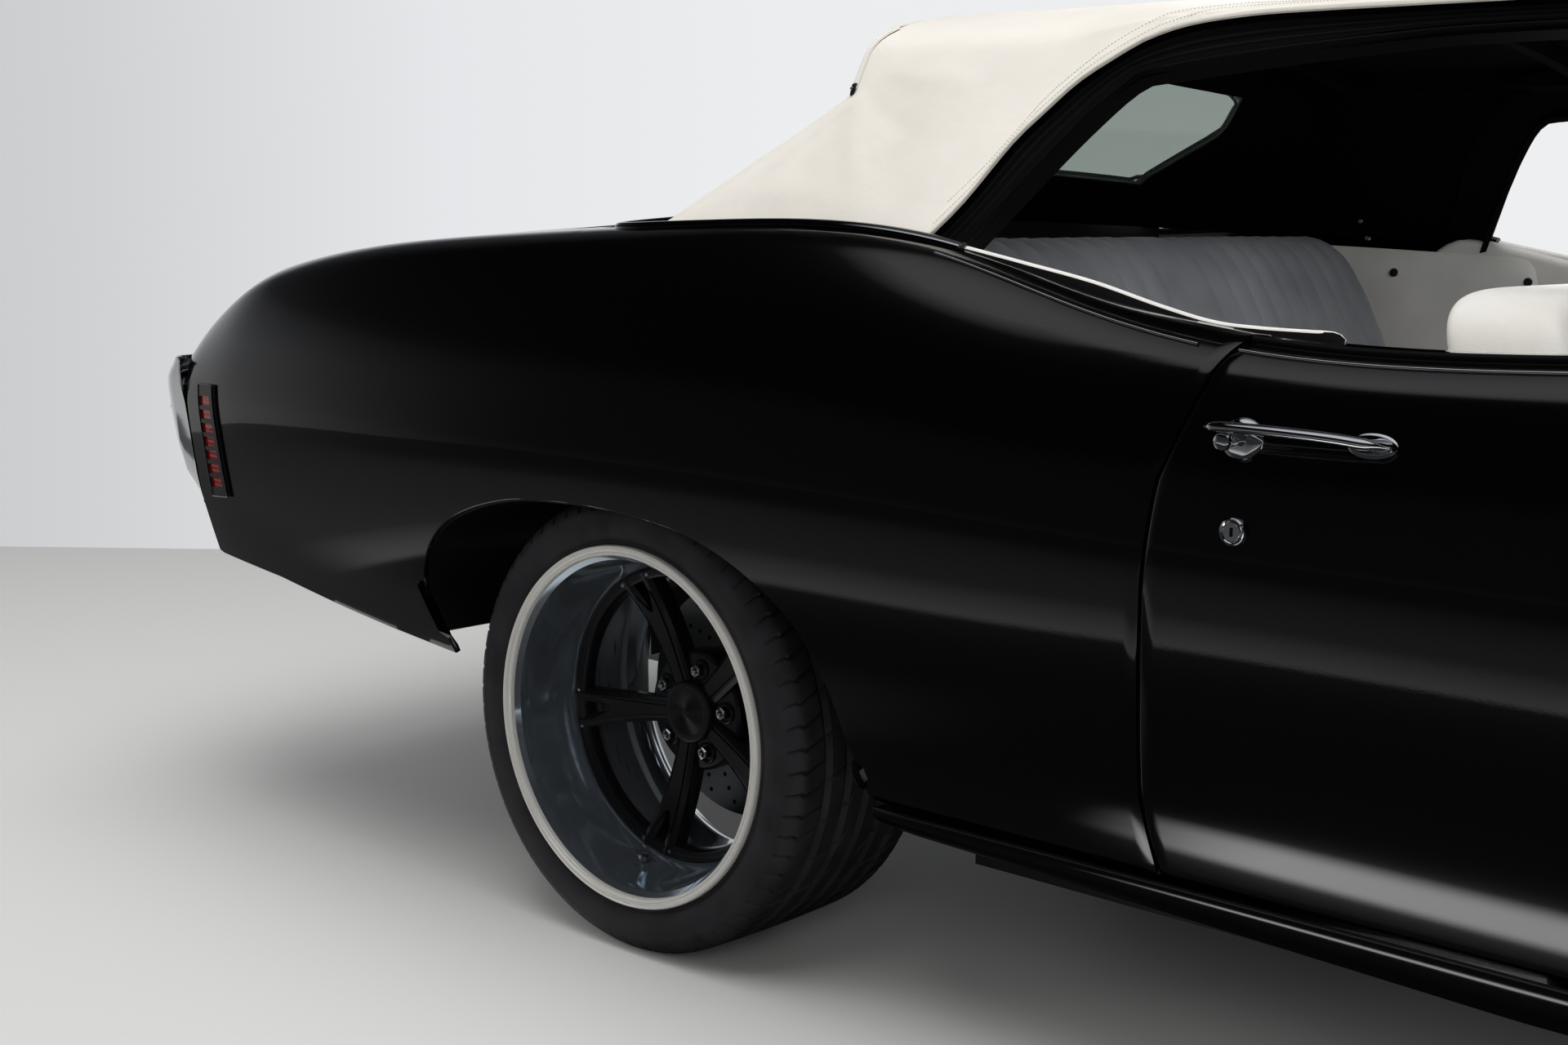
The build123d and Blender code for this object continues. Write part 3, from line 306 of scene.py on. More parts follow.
def grid_faces(rows, cols, wrap_rows=False, wrap_cols=False, start=0, flip=False):
    """Quads of a rows by cols grid as an array, optionally closed in either direction."""
    r = np.arange(rows if wrap_rows else rows - 1)
    c = np.arange(cols if wrap_cols else cols - 1)
    rr, cc = np.meshgrid(r, c, indexing="ij")
    r2, c2 = (rr + 1) % rows, (cc + 1) % cols
    quads = np.stack([rr * cols + cc, r2 * cols + cc, r2 * cols + c2, rr * cols + c2], axis=-1)
    quads = quads.reshape(-1, 4) + start
    return quads[:, ::-1] if flip else quads


def join(parts):
    """Joins (verts, faces) pairs into one pair."""
    verts, faces, count = [], [], 0
    for v, f in parts:
        v = np.asarray(v, dtype=float).reshape(-1, 3)
        verts.append(v)
        faces.extend([tuple(int(i) + count for i in face) for face in f])
        count += len(v)
    return np.concatenate(verts), faces


def mirrored(part):
    """The same (verts, faces) on the other side of the car."""
    v, f = part
    v = np.asarray(v, dtype=float).reshape(-1, 3) * ACROSS
    return v, [tuple(face)[::-1] for face in f]


def on_side(part, side):
    """A right-hand part as it is, or its mirror image for the left."""
    return part if side == "right" else mirrored(part)


def pair(part):
    """A part and its mirror image, joined."""
    return join([part, mirrored(part)])


def unit_normals(points):
    """Unit normals of a surface grid, from the cross product of its two directions."""
    n = np.cross(np.gradient(points, axis=0), np.gradient(points, axis=1))
    return n / (np.linalg.norm(n, axis=-1)[..., None] + 1e-12)


def smoothstep(low, high, value):
    """0 below low, 1 above high, and the cubic 3 t^2 - 2 t^3 between them."""
    t = np.clip((value - low) / (high - low), 0, 1)
    return t * t * (3 - 2 * t)


def smooth_line(points, count, closed=False):
    """Even points along a Catmull-Rom curve through a few given points."""
    p = np.asarray(points, dtype=float)
    if closed:
        q = np.concatenate([p[-1:], p, p[:2]])
    else:
        q = np.concatenate([2 * p[:1] - p[1:2], p, 2 * p[-1:] - p[-2:-1]])
    spans = len(q) - 3
    t = np.linspace(0, spans, spans * 24 + 1)
    i = np.minimum(t.astype(int), spans - 1)
    f = (t - i)[:, None]
    a, b, c, d = q[i], q[i + 1], q[i + 2], q[i + 3]
    line = 0.5 * (2 * b + (c - a) * f + (2 * a - 5 * b + 4 * c - d) * f**2 + (3 * b - a - 3 * c + d) * f**3)
    return resample(line, count)


def resample(line, count):
    """Even points by arc length along a polyline; count may be an array of fractions."""
    line = np.asarray(line, dtype=float)
    length = np.concatenate([[0], np.cumsum(np.linalg.norm(np.diff(line, axis=0), axis=1))])
    at = (np.linspace(0, 1, count) if np.isscalar(count) else np.asarray(count)) * length[-1]
    return np.stack([np.interp(at, length, line[:, k]) for k in range(line.shape[1])], axis=1)


def frames_along(path, closed=False, up=(0, 0, 1)):
    """Tangent, side and normal directions along a path, with the side square to a fixed up."""
    path = np.asarray(path, dtype=float)
    if closed:
        tangent = np.roll(path, -1, axis=0) - np.roll(path, 1, axis=0)
    else:
        tangent = np.gradient(path, axis=0)
    tangent /= np.linalg.norm(tangent, axis=1)[:, None] + 1e-12
    up = np.broadcast_to(np.asarray(up, dtype=float), tangent.shape)
    side = np.cross(tangent, up)
    side /= np.linalg.norm(side, axis=1)[:, None] + 1e-12
    return tangent, side, np.cross(side, tangent)


def sweep(path, profile, closed=False, up=(0, 0, 1), scale=None):
    """A closed profile of (side, normal) offsets carried along a path; ends closed with one face each."""
    path = np.asarray(path, dtype=float)
    profile = np.asarray(profile, dtype=float)
    _, side, normal = frames_along(path, closed, up)
    size = np.ones(len(path)) if scale is None else np.asarray(scale)
    verts = (
        path[:, None]
        + side[:, None] * (profile[None, :, :1] * size[:, None, None])
        + normal[:, None] * (profile[None, :, 1:] * size[:, None, None])
    )
    n, m = verts.shape[:2]
    faces = [tuple(f) for f in grid_faces(n, m, wrap_rows=closed, wrap_cols=True)]
    if not closed:
        faces.append(tuple(range(m)))
        faces.append(tuple(range((n - 1) * m, n * m))[::-1])
    return verts.reshape(-1, 3), faces


def ring_profile(radius, count=10, squash=1.0):
    """Round profile for a bead or tube."""
    a = np.linspace(0, 2 * np.pi, count, endpoint=False)
    return np.stack([radius * np.cos(a), radius * squash * np.sin(a)], axis=1)


def lathe(profile, centre, segments=128):
    """Turns a closed profile of (radius, inboard depth) about an axle across the car, on its right."""
    p = np.asarray(profile, dtype=float)
    a = np.linspace(0, 2 * np.pi, segments, endpoint=False)
    x = centre[0] + p[:, 0][None] * np.cos(a)[:, None]
    z = centre[2] + p[:, 0][None] * np.sin(a)[:, None]
    y = np.broadcast_to(centre[1] + p[:, 1][None], x.shape)
    verts = np.stack([x, y, z], axis=-1).reshape(-1, 3)
    return verts, grid_faces(segments, len(p), wrap_rows=True, wrap_cols=True)


def revolve(profile, centre, axis, segments=48):
    """Turns a closed profile of (radius, height) about any axis through a centre, in millimetres."""
    p = np.asarray(profile, dtype=float)
    axis = np.asarray(axis, dtype=float)
    one = np.cross(axis, [0.0, 1.0, 0.0])
    one /= np.linalg.norm(one)
    two = np.cross(axis, one)
    a = np.linspace(0, 2 * np.pi, segments, endpoint=False)[:, None, None]
    verts = np.asarray(centre) + p[None, :, :1] * (np.cos(a) * one + np.sin(a) * two) + p[None, :, 1:] * axis
    return verts.reshape(-1, 3) * MM, grid_faces(segments, len(p), wrap_rows=True, wrap_cols=True)


def pillow(centre, half, power=0.4, counts=(48, 24)):
    """Rounded block, a superellipsoid: half sizes and one roundness power, in millimetres."""
    u = np.linspace(0, 2 * np.pi, counts[0], endpoint=False)
    v = np.linspace(-np.pi / 2, np.pi / 2, counts[1])
    uu, vv = np.meshgrid(u, v, indexing="ij")
    cu, su = squircle(uu, power)
    cv, sv = squircle(vv, power)
    verts = np.stack([cu * cv, su * cv, sv], axis=-1) * np.asarray(half) + np.asarray(centre)
    return verts.reshape(-1, 3) * MM, grid_faces(*counts, wrap_rows=True)


def squircle(u, power):
    """Cosine and sine of an angle, each raised to a power with its sign kept."""
    return tuple(np.sign(wave) * np.abs(wave) ** power for wave in (np.cos(u), np.sin(u)))


def recalc(made):
    """Merges doubles and turns a closed mesh's faces outwards."""
    work = bmesh.new()
    work.from_mesh(made.data)
    bmesh.ops.remove_doubles(work, verts=work.verts, dist=1e-6)
    bmesh.ops.recalc_face_normals(work, faces=work.faces)
    work.to_mesh(made.data)
    work.free()
    made.data.set_sharp_from_angle(angle=math.radians(SMOOTH_BELOW))
    return made


# Body skin. Columns: x, shoulder z, shoulder y, widest y, widest z, crease y, foot y, crown z, in millimetres
SKIN_ROWS = np.array([
    (-2440, 742, 806, 868, 640, 856, 836, 752), (-2390, 790, 812, 880, 642, 866, 845, 800),
    (-2330, 833, 816, 890, 643, 875, 853, 845), (-2240, 878, 820, 903, 644, 888, 864, 892),
    (-2145, 904, 822, 914, 645, 900, 872, 922), (-1700, 955, 812, 948, 640, 932, 896, 984),
    (-1257.5, 977, 800, 957, 640, 940, 902, 1010), (-860, 963, 803, 952, 635, 934, 900, 992),
    (-620, 906, 832, 947, 630, 929, 899, 934), (-410, 871, 858, 945, 625, 925, 898, 906),
    (60, 873, 866, 945, 620, 923, 898, 908), (718, 884, 862, 942, 620, 920, 898, 922),
    (1250, 880, 846, 944, 625, 924, 898, 922), (1587.5, 868, 836, 948, 630, 930, 896, 912),
    (2050, 836, 816, 922, 622, 908, 876, 880), (2440, 792, 786, 862, 604, 850, 828, 826),
])
FOOT_Z = 296.0
CREASE_Z = 378.0
SHOULDER_R = 34.0
SHOULDER_SPAN = 58.0
BLEND_PULL = 52.0


def spline_rows(x):
    """Natural cubic spline through the station rows, one row of columns for each x."""
    xs, ys = SKIN_ROWS[:, 0], SKIN_ROWS[:, 1:]
    h = np.diff(xs)
    n = len(xs)
    matrix = np.eye(n)
    rhs = np.zeros((n, ys.shape[1]))
    for i in range(1, n - 1):
        matrix[i, i - 1:i + 2] = h[i - 1], 2 * (h[i - 1] + h[i]), h[i]
        rhs[i] = 6 * ((ys[i + 1] - ys[i]) / h[i] - (ys[i] - ys[i - 1]) / h[i - 1])
    bend = np.linalg.solve(matrix, rhs)
    i = np.clip(np.searchsorted(xs, x) - 1, 0, n - 2)
    a, b = (xs[i + 1] - x)[..., None], (x - xs[i])[..., None]
    hh = h[i][..., None]
    return (
        bend[i] * a**3 / (6 * hh) + bend[i + 1] * b**3 / (6 * hh)
        + (ys[i] / hh - bend[i] * hh / 6) * a + (ys[i + 1] / hh - bend[i + 1] * hh / 6) * b
    )


def skin(x, w):
    """Right-hand body skin in millimetres at station x and height w. Up to the shoulder w is the height z:
    foot to crease is a parabola, crease to shoulder two circles that meet upright at the widest line.
    Above, w goes on over the shoulder by a cubic blend, SHOULDER_SPAN long and drawn out at both ends by
    BLEND_PULL, and then inwards along the crown's circle."""
    x, w = np.broadcast_arrays(np.asarray(x, dtype=float), np.asarray(w, dtype=float))
    z_sh, y_sh, y_wide, z_wide, y_crease, y_foot, z_crown = np.moveaxis(spline_rows(x), -1, 0)
    up_r = ((y_wide - y_sh) ** 2 + (z_sh - z_wide) ** 2) / (2 * (y_wide - y_sh))
    low_r = ((y_wide - y_crease) ** 2 + (z_wide - CREASE_Z) ** 2) / (2 * (y_wide - y_crease))
    turn = np.arcsin((z_sh - z_wide) / up_r) - SHOULDER_R / up_r
    end_y, end_z = y_wide - up_r * (1 - np.cos(turn)), z_wide + up_r * np.sin(turn)
    in_y, in_z = y_sh - SHOULDER_R, z_sh + 2
    rise = z_crown - in_z
    crown_r = (in_y**2 + rise**2) / (2 * rise)
    t_foot = np.clip((w - FOOT_Z) / (CREASE_Z - FOOT_Z), -0.6, 1)
    y_low = y_foot + (y_crease - y_foot) * (1.24 * t_foot - 0.24 * t_foot * t_foot)
    y_mid = y_wide - low_r + np.sqrt(np.maximum(low_r**2 - (z_wide - w) ** 2, 0))
    y_up = y_wide - up_r + np.sqrt(np.maximum(up_r**2 - (w - z_wide) ** 2, 1))
    y = np.where(w < CREASE_Z, y_low, np.where(w < z_wide, y_mid, y_up))
    z = w.copy()
    over = w > end_z
    t = np.clip((w - end_z) / SHOULDER_SPAN, 0, 1)
    d0y, d0z = -np.sin(turn) * BLEND_PULL, np.cos(turn) * BLEND_PULL
    slope = in_y / np.sqrt(crown_r**2 - in_y**2)
    d1y, d1z = -BLEND_PULL / np.sqrt(1 + slope**2), BLEND_PULL * slope / np.sqrt(1 + slope**2)
    h00, h10, h01, h11 = 2 * t**3 - 3 * t**2 + 1, t**3 - 2 * t**2 + t, -2 * t**3 + 3 * t**2, t**3 - t**2
    sy = h00 * end_y + h10 * d0y + h01 * in_y + h11 * d1y
    sz = h00 * end_z + h10 * d0z + h01 * in_z + h11 * d1z
    y_in = np.maximum(in_y - np.maximum(w - end_z - SHOULDER_SPAN, 0), 0)
    cz = z_crown - crown_r + np.sqrt(crown_r**2 - y_in**2)
    crown = w > end_z + SHOULDER_SPAN
    y = np.where(crown, y_in, np.where(over, sy, y))
    z = np.where(crown, cz, np.where(over, sz, z))
    return np.stack([x, -y, z], axis=-1)


def w_at(x, half_y):
    """Skin height coordinate at which the crown reaches a half width."""
    x = np.asarray(x, dtype=float)
    z_sh, y_sh, y_wide, z_wide, _, _, _ = np.moveaxis(spline_rows(x), -1, 0)
    up_r = ((y_wide - y_sh) ** 2 + (z_sh - z_wide) ** 2) / (2 * (y_wide - y_sh))
    turn = np.arcsin((z_sh - z_wide) / up_r) - SHOULDER_R / up_r
    return z_wide + up_r * np.sin(turn) + SHOULDER_SPAN + (y_sh - SHOULDER_R) - half_y


def params(count, length, edge=2.2):
    """Even parameters from 0 to 1 with one more close to each end, for a rolled panel edge."""
    small = edge / length
    return np.sort(np.concatenate([np.linspace(0, 1, count), [small, 1 - small]]))


def coons(bottom, top, left, right, u, v, shift=((0, 1), (0, 1))):
    """Coons patch in the plane between four border lines; shift maps places along the bottom to the top."""
    b, t = resample(bottom, u), resample(top, np.interp(u, *shift))
    rear, front = resample(left, v), resample(right, v)
    uu, vv = u[:, None, None], v[None, :, None]
    corners = (1 - uu) * (1 - vv) * b[0] + uu * (1 - vv) * b[-1] + (1 - uu) * vv * t[0] + uu * vv * t[-1]
    return (1 - vv) * b[:, None] + vv * t[:, None] + (1 - uu) * rear[None] + uu * front[None] - corners


def thick(points, depth, drop=1.2, flip=False):
    """Closed panel from a surface grid in millimetres: rolled in at its border, its back a depth behind."""
    p = points.copy()
    n = -unit_normals(p) if flip else unit_normals(p)
    border = np.zeros(p.shape[:2], dtype=bool)
    border[0], border[-1], border[:, 0], border[:, -1] = True, True, True, True
    back = p - n * depth
    p = np.where(border[..., None], p - n * drop, p)
    rows, cols = p.shape[:2]
    front = grid_faces(rows, cols, flip=flip)
    rear = grid_faces(rows, cols, start=rows * cols, flip=not flip)
    loop = np.concatenate([
        np.arange(cols), cols * np.arange(1, rows) + cols - 1,
        (rows - 1) * cols + np.arange(cols - 2, -1, -1), cols * np.arange(rows - 2, 0, -1),
    ])
    nxt = np.roll(loop, -1)
    rim = np.stack([loop, nxt, nxt + rows * cols, loop + rows * cols], axis=-1)
    if flip:
        rim = rim[:, ::-1]
    return np.concatenate([p.reshape(-1, 3), back.reshape(-1, 3)]) * MM, np.concatenate([front, rear, rim])


def panel(borders, counts, lengths, depth=9.0, shift=((0, 1), (0, 1))):
    """A right-hand body panel from four border lines in station and skin height."""
    u, v = params(counts[0], lengths[0]), params(counts[1], lengths[1])
    xw = coons(*borders, u, v, shift)
    return thick(skin(xw[..., 0], xw[..., 1]), depth)


# Panel borders in station and skin height, millimetres
DOOR_REAR = [(-438, 296), (-448, 391), (-446, 620), (-440, 729), (-402, 866)]
DOOR_FRONT = 718.0
GAP = 5.0
BELT_HALF = 778.0
REAR_ARCH = [
    (-1590, 363), (-1612, 394), (-1641, 432), (-1650, 458), (-1645, 492), (-1628, 524), (-1594, 555),
    (-1547, 578), (-1480, 598), (-1408, 609), (-1277, 613), (-1148, 603), (-1061, 581), (-985, 545),
    (-920, 495), (-875, 425), (-848, 345), (-843, 296),
]
FRONT_ARCH_R = 360.0
DECK_FRONT, DECK_REAR, DECK_HALF = -1600.0, -2421.0, 700.0
HOOD_REAR, HOOD_FRONT, HOOD_HALF = 735.0, 2330.0, 722.0


def along_top(x_from, x_to, half_from, half_to=None, count=60):
    """Border that keeps a half width on top of the body between two stations."""
    x = np.linspace(x_from, x_to, count)
    half = np.linspace(half_from, half_from if half_to is None else half_to, count)
    return [tuple(p) for p in np.stack([x, w_at(x, half)], axis=1)]


def body_pair(name, right, finish, body_right, body_left, node):
    """A right-hand panel and its mirror image as two pieces that replace the two CAD panels."""
    build(f"{name}_right_skin", *right, finish, body_right, [f"{node}_right"])
    build(f"{name}_left_skin", *mirrored(right), finish, body_left, [f"{node}_left"])


def arch_side(low_points):
    """Arch border smoothed between its straight feet."""
    return low_points[:2] + [tuple(p) for p in smooth_line(low_points[2:-1], 90)] + low_points[-1:]


def quarter():
    """Rear quarter: along bumper, arch, sill and door edge, over the shoulder to deck and top well."""
    tail = [(-2311, 509), (-2335, 589), (-2358, 666), (-2392, 738), (-2418, 750)]
    corner_w = float(w_at(DECK_REAR, DECK_HALF + GAP))
    left = tail + [(-2420, 760), (DECK_REAR, corner_w)]
    bumper_foot = [(-2311, 509), (-2262, 425), (-2055, 412), (-1887, 393), (-1700, 374)]
    bottom = bumper_foot + arch_side(REAR_ARCH) + [(-443, FOOT_Z)]
    top = along_top(DECK_REAR, -1500, DECK_HALF + GAP) + along_top(-1490, -900, 742, 770)
    top += along_top(-890, -398, 772, BELT_HALF)
    right = [(x - GAP, z) for x, z in DOOR_REAR] + [(-398, float(w_at(-398.0, BELT_HALF)))]
    shift = ((0, 0.12, 0.32, 0.45, 1), (0, 0.05, 0.17, 0.36, 1))
    return panel((bottom, top, left, right), (150, 54), (2400, 800), shift=shift)


def door():
    """Door skin from the sill over the belt to the inner edge."""
    left = DOOR_REAR + [(-393, float(w_at(-393.0, BELT_HALF)))]
    right = [(DOOR_FRONT, FOOT_Z), (DOOR_FRONT, float(w_at(DOOR_FRONT, BELT_HALF)))]
    borders = ([(-438, FOOT_Z), (DOOR_FRONT, FOOT_Z)], along_top(-393, DOOR_FRONT, BELT_HALF), left, right)
    return panel(borders, (74, 54), (1160, 700), 14.0)


def fender():
    """Front fender: from the door gap round the arch to the nose, over the shoulder to the hood gap."""
    a = np.radians(np.linspace(182.7, -2.7, 80))
    arch = [(X_FRONT + FRONT_ARCH_R * math.cos(t), AXLE_Z + FRONT_ARCH_R * math.sin(t)) for t in a]
    bottom = [(723, FOOT_Z)] + arch + [(1990, 310), (2240, 400), (2300, 460), (2318, 592), (2414, 592)]
    nose_w = float(w_at(2392.0, HOOD_HALF + GAP))
    right = [(2414, 592), (2426, 640), (2422, 700), (2408, 760), (2392, nose_w)]
    left = [(723, FOOT_Z), (723, float(w_at(723.0, HOOD_HALF + GAP)))]
    return panel((bottom, along_top(723, 2392, HOOD_HALF + GAP), left, right), (130, 50), (2200, 700))


def top_surface(x, y, lift=None):
    """Height of the body's crown at station x and half width y, with an optional raised shape."""
    rows = spline_rows(x)
    z_sh, y_sh, z_crown = rows[..., 0], rows[..., 1], rows[..., 6]
    in_y, in_z = y_sh - SHOULDER_R, z_sh + 2
    rise = z_crown - in_z
    crown_r = (in_y**2 + rise**2) / (2 * rise)
    z = z_crown - crown_r + np.sqrt(crown_r**2 - y**2)
    return z if lift is None else z + lift(x, y)


def lid(x_from, x_to, half, counts, depth, lift=None):
    """Lid cut from the body's crown between two stations, symmetric about the centre line."""
    x = x_from + (x_to - x_from) * params(counts[0], abs(x_to - x_from))
    y = -half + 2 * half * params(counts[1], 2 * half)
    xx, yy = np.meshgrid(x, y, indexing="ij")
    return thick(np.stack([xx, yy, top_surface(xx, yy, lift)], axis=-1), depth)


def hood_bulge(x, y):
    """Raised centre of the hood: 26 mm, with soft sides, fading out at the nose."""
    side = 1 - smoothstep(210, 300, np.abs(y))
    return 26 * side * smoothstep(740, 1050, x) * (1 - smoothstep(1750, 2260, x))


def rocker():
    """Rocker under the door: a rounded roll that bulges past the door's foot and tucks under."""
    count = 80
    x = np.linspace(-838, 1226, count)
    y_foot = spline_rows(x)[:, 5]
    drop = np.interp(x, [-838, -60], [42, 66])
    a = np.linspace(0, 1, 20)[None]
    swing = a * np.pi * 0.94
    y = y_foot[:, None] + 3 - 54 * (1 - np.cos(swing)) / 2 + 7 * np.sin(swing)
    z = 290 - drop[:, None] * (1 - (1 - a) ** 1.35)
    # a lip runs in under the panels' feet, 6 mm below them
    y = np.concatenate([y_foot[:, None] - 24, y_foot[:, None] - 6, y], axis=1)
    z = np.concatenate([np.full((count, 1), 289.0), np.full((count, 1), 289.6), z], axis=1)
    points = np.stack([np.broadcast_to(x[:, None], y.shape), -y, z], axis=-1)
    return thick(points[:, ::-1], 6.0)


def arch_liner():
    """Return flange and splash liner of the rear arch: the arch line carried inwards from the skin."""
    line = np.array(arch_side(REAR_ARCH))[1:]
    edge = skin(line[:, 0], line[:, 1])
    t = np.concatenate([[0.0, 0.05, 0.1], np.linspace(0.2, 1, 9)])[None, :, None]
    inner = edge * np.array([1, 0, 1]) + np.array([0, -620.0, 0])
    points = edge[:, None] + (inner - edge)[:, None] * t + np.array([0, 8.0, 0])
    return thick(points, 3.0, 0.3)


body_pair("quarter", quarter(), PAINT, "body", "body", "quarter")
body_pair("door", door(), PAINT, "door_right", "door_left", "door")
body_pair("fender", fender(), PAINT, "body", "body", "fender")
build("hood_skin", *lid(HOOD_REAR, HOOD_FRONT, HOOD_HALF, (54, 70), 9.0, hood_bulge), PAINT, "hood", ["hood"])
build("deck_lid_skin", *lid(DECK_REAR, DECK_FRONT, DECK_HALF, (44, 58), 9.0), PAINT, "deck_lid", ["deck_lid"])
build("rocker_skins", *pair(rocker()), PAINT, "body", ["rocker_panels"])
recalc(build("arch_liners", *pair(arch_liner()), SATIN, "body"))


# Wheels and tyres. Profiles are (radius, depth behind the lip plane) in millimetres
# Rows: station, lip's half width, rim width, depths of the centre's ring and of the brake disc's face
WHEEL_ROWS = {"rear": (X_REAR, 922.0, 282.0, 102.0, 227.0), "front": (X_FRONT, 915.0, 228.0, 44.0, 134.0)}
SIPES = 66
HUB_BACK = 36.0


def turned(profile, x, lip_y, segments=128):
    """A closed profile turned about the axle of a right-hand wheel; profile points in millimetres."""
    return lathe(np.asarray(profile, dtype=float) * MM, (x * MM, -lip_y * MM, AXLE_Z * MM), segments)


def on_wheel(x, lip_y, r, angle, depth):
    """Point on a right-hand wheel from radius, angle and depth, in metres."""
    return np.stack(np.broadcast_arrays(
        x + r * np.cos(angle), -lip_y + depth, AXLE_Z + r * np.sin(angle)), axis=-1) * MM


def rim_parts(x, lip_y, width, ring_at):
    """Scuffed outer lip, then the polished barrel stepping down to the centre and on to the inner flange."""
    lip = [
        (231.6, 13), (231.6, 4.6), (232.6, 2.6), (234.6, 2.0), (236.4, 2.4), (237.2, 3.2), (238.2, 1.4),
        (240, 0.3), (243, 0), (245, 0.9), (246, 3), (246, 9), (244, 13),
    ]
    deep, shallow = [(221.4, 38), (218, 0.6 * ring_at), (212, 0.85 * ring_at)], [(219, 31), (212, 37)]
    barrel = [
        (231.6, 10), (229, 12.6), (225, 16), (223, 26), *(deep if ring_at > 80 else shallow),
        (206.5, ring_at - 4), (205.6, ring_at + 2), (205.6, ring_at + 12), (201, ring_at + 14),
        (199.4, ring_at + 24), (199, ring_at + 60), (200, width - 74), (207, width - 50), (221, width - 30),
        (226, width - 20), (233, width - 8), (240, width - 1), (244.5, width), (246, width - 4),
        (245, width - 12), (232, width - 14), (228, width - 22), (228, width - 44), (211, width - 62),
        (208, ring_at + 62), (208, ring_at + 30), (212, ring_at + 14), (226, 46), (228, 38), (228, 17),
        (243, 12.5),
    ]
    return turned(lip, x, lip_y, 144), turned(barrel, x, lip_y, 120)


# Spokes run from the hub, and t goes from 0 there to 1 at the ring
SPOKE_FROM, SPOKE_RUN = 38.0, 162.0


def spoke_half(t):
    """Half distance between the two bars of a pair: close at the hub, spreading towards the ring."""
    return 8.6 + 5.5 * t + 6.5 * t**3


def spoke_sink(t):
    """Depth of a spoke behind the ring: it stays deep at the hub and rises late."""
    return 30 * (1 - t**2.4)


def spoke(x, lip_y, ring_at, angle, side):
    """One bar of a pair: its path leaves the hub close to its twin, stays deep, then rises and spreads to
    the ring. Section: a flat ridge between two chamfers, over a tapered shank."""
    t = np.linspace(0, 1, 26)
    r = SPOKE_FROM + SPOKE_RUN * t
    across = side * spoke_half(t)
    depth = ring_at + 4 + spoke_sink(t)
    c, s = math.cos(angle), math.sin(angle)
    path = np.stack([x + r * c - across * s, -lip_y + depth, AXLE_Z + r * s + across * c], axis=-1)
    half = 8.3 + 2.4 * t**2
    rise = np.array([0, 3.2, 5.8, 6.3, 6.3, 5.8, 3.2, 0, -24, -24])
    wide = np.array([-1, -0.92, -0.34, -0.22, 0.22, 0.34, 0.92, 1, 0.72, -0.72])
    lateral, inwards = np.array([-s, 0.0, c]), np.array([0, 1.0, 0])
    verts = path[:, None] + half[:, None, None] * wide[None, :, None] * lateral
    verts = verts - rise[None, :, None] * inwards
    n, m = verts.shape[:2]
    faces = [tuple(f) for f in grid_faces(n, m, wrap_cols=True)]
    faces += [tuple(range(m))[::-1], tuple(range((n - 1) * m, n * m))]
    return verts.reshape(-1, 3) * MM, faces


def web(x, lip_y, ring_at, angle):
    """Recessed plate between a pair's bars, with a round-ended notch towards the ring."""
    t, w = np.meshgrid(np.linspace(0, 1, 12), np.linspace(-1, 1, 9), indexing="ij")
    far = 150 + 20 * w**2 + 8 * np.abs(w) ** 6
    r = SPOKE_FROM + (far - SPOKE_FROM) * t
    along = (r - SPOKE_FROM) / SPOKE_RUN
    across = (spoke_half(along) - 3) * w
    depth = ring_at + 10 + spoke_sink(along)
    c, s = math.cos(angle), math.sin(angle)
    pts = np.stack([x + r * c - across * s, -lip_y + depth, AXLE_Z + r * s + across * c], axis=-1)
    return thick(pts[:, ::-1], 14.0, 0.8)


def hex_nut(x, lip_y, r, angle, depth, size, height, axis="y"):
    """Hexagonal nut with a chamfered, domed tip, standing out from a wheel or inwards from its barrel."""
    rings = [(size, 0), (size, height * 0.72), (size * 0.86, height * 0.8), (size * 0.6, height * 0.83),
             (size * 0.52, height), (size * 0.2, height * 1.06)]
    a = np.arange(6) * np.pi / 3
    centre = np.array([x + r * math.cos(angle), -lip_y + depth, AXLE_Z + r * math.sin(angle)])
    out = np.array([0, -1.0, 0]) if axis == "y" else np.array([-math.cos(angle), 0, -math.sin(angle)])
    one = np.array([0, 0, 1.0]) if axis == "y" else np.array([0, 1.0, 0])
    two = np.cross(out, one)
    verts = np.concatenate([
        centre + out * h + q * (np.cos(a)[:, None] * one + np.sin(a)[:, None] * two) for q, h in rings])
    faces = [tuple(f) for f in grid_faces(len(rings), 6, wrap_cols=True, flip=True)]
    return verts * MM, faces + [tuple(range(6))[::-1], tuple(range(30, 36))]


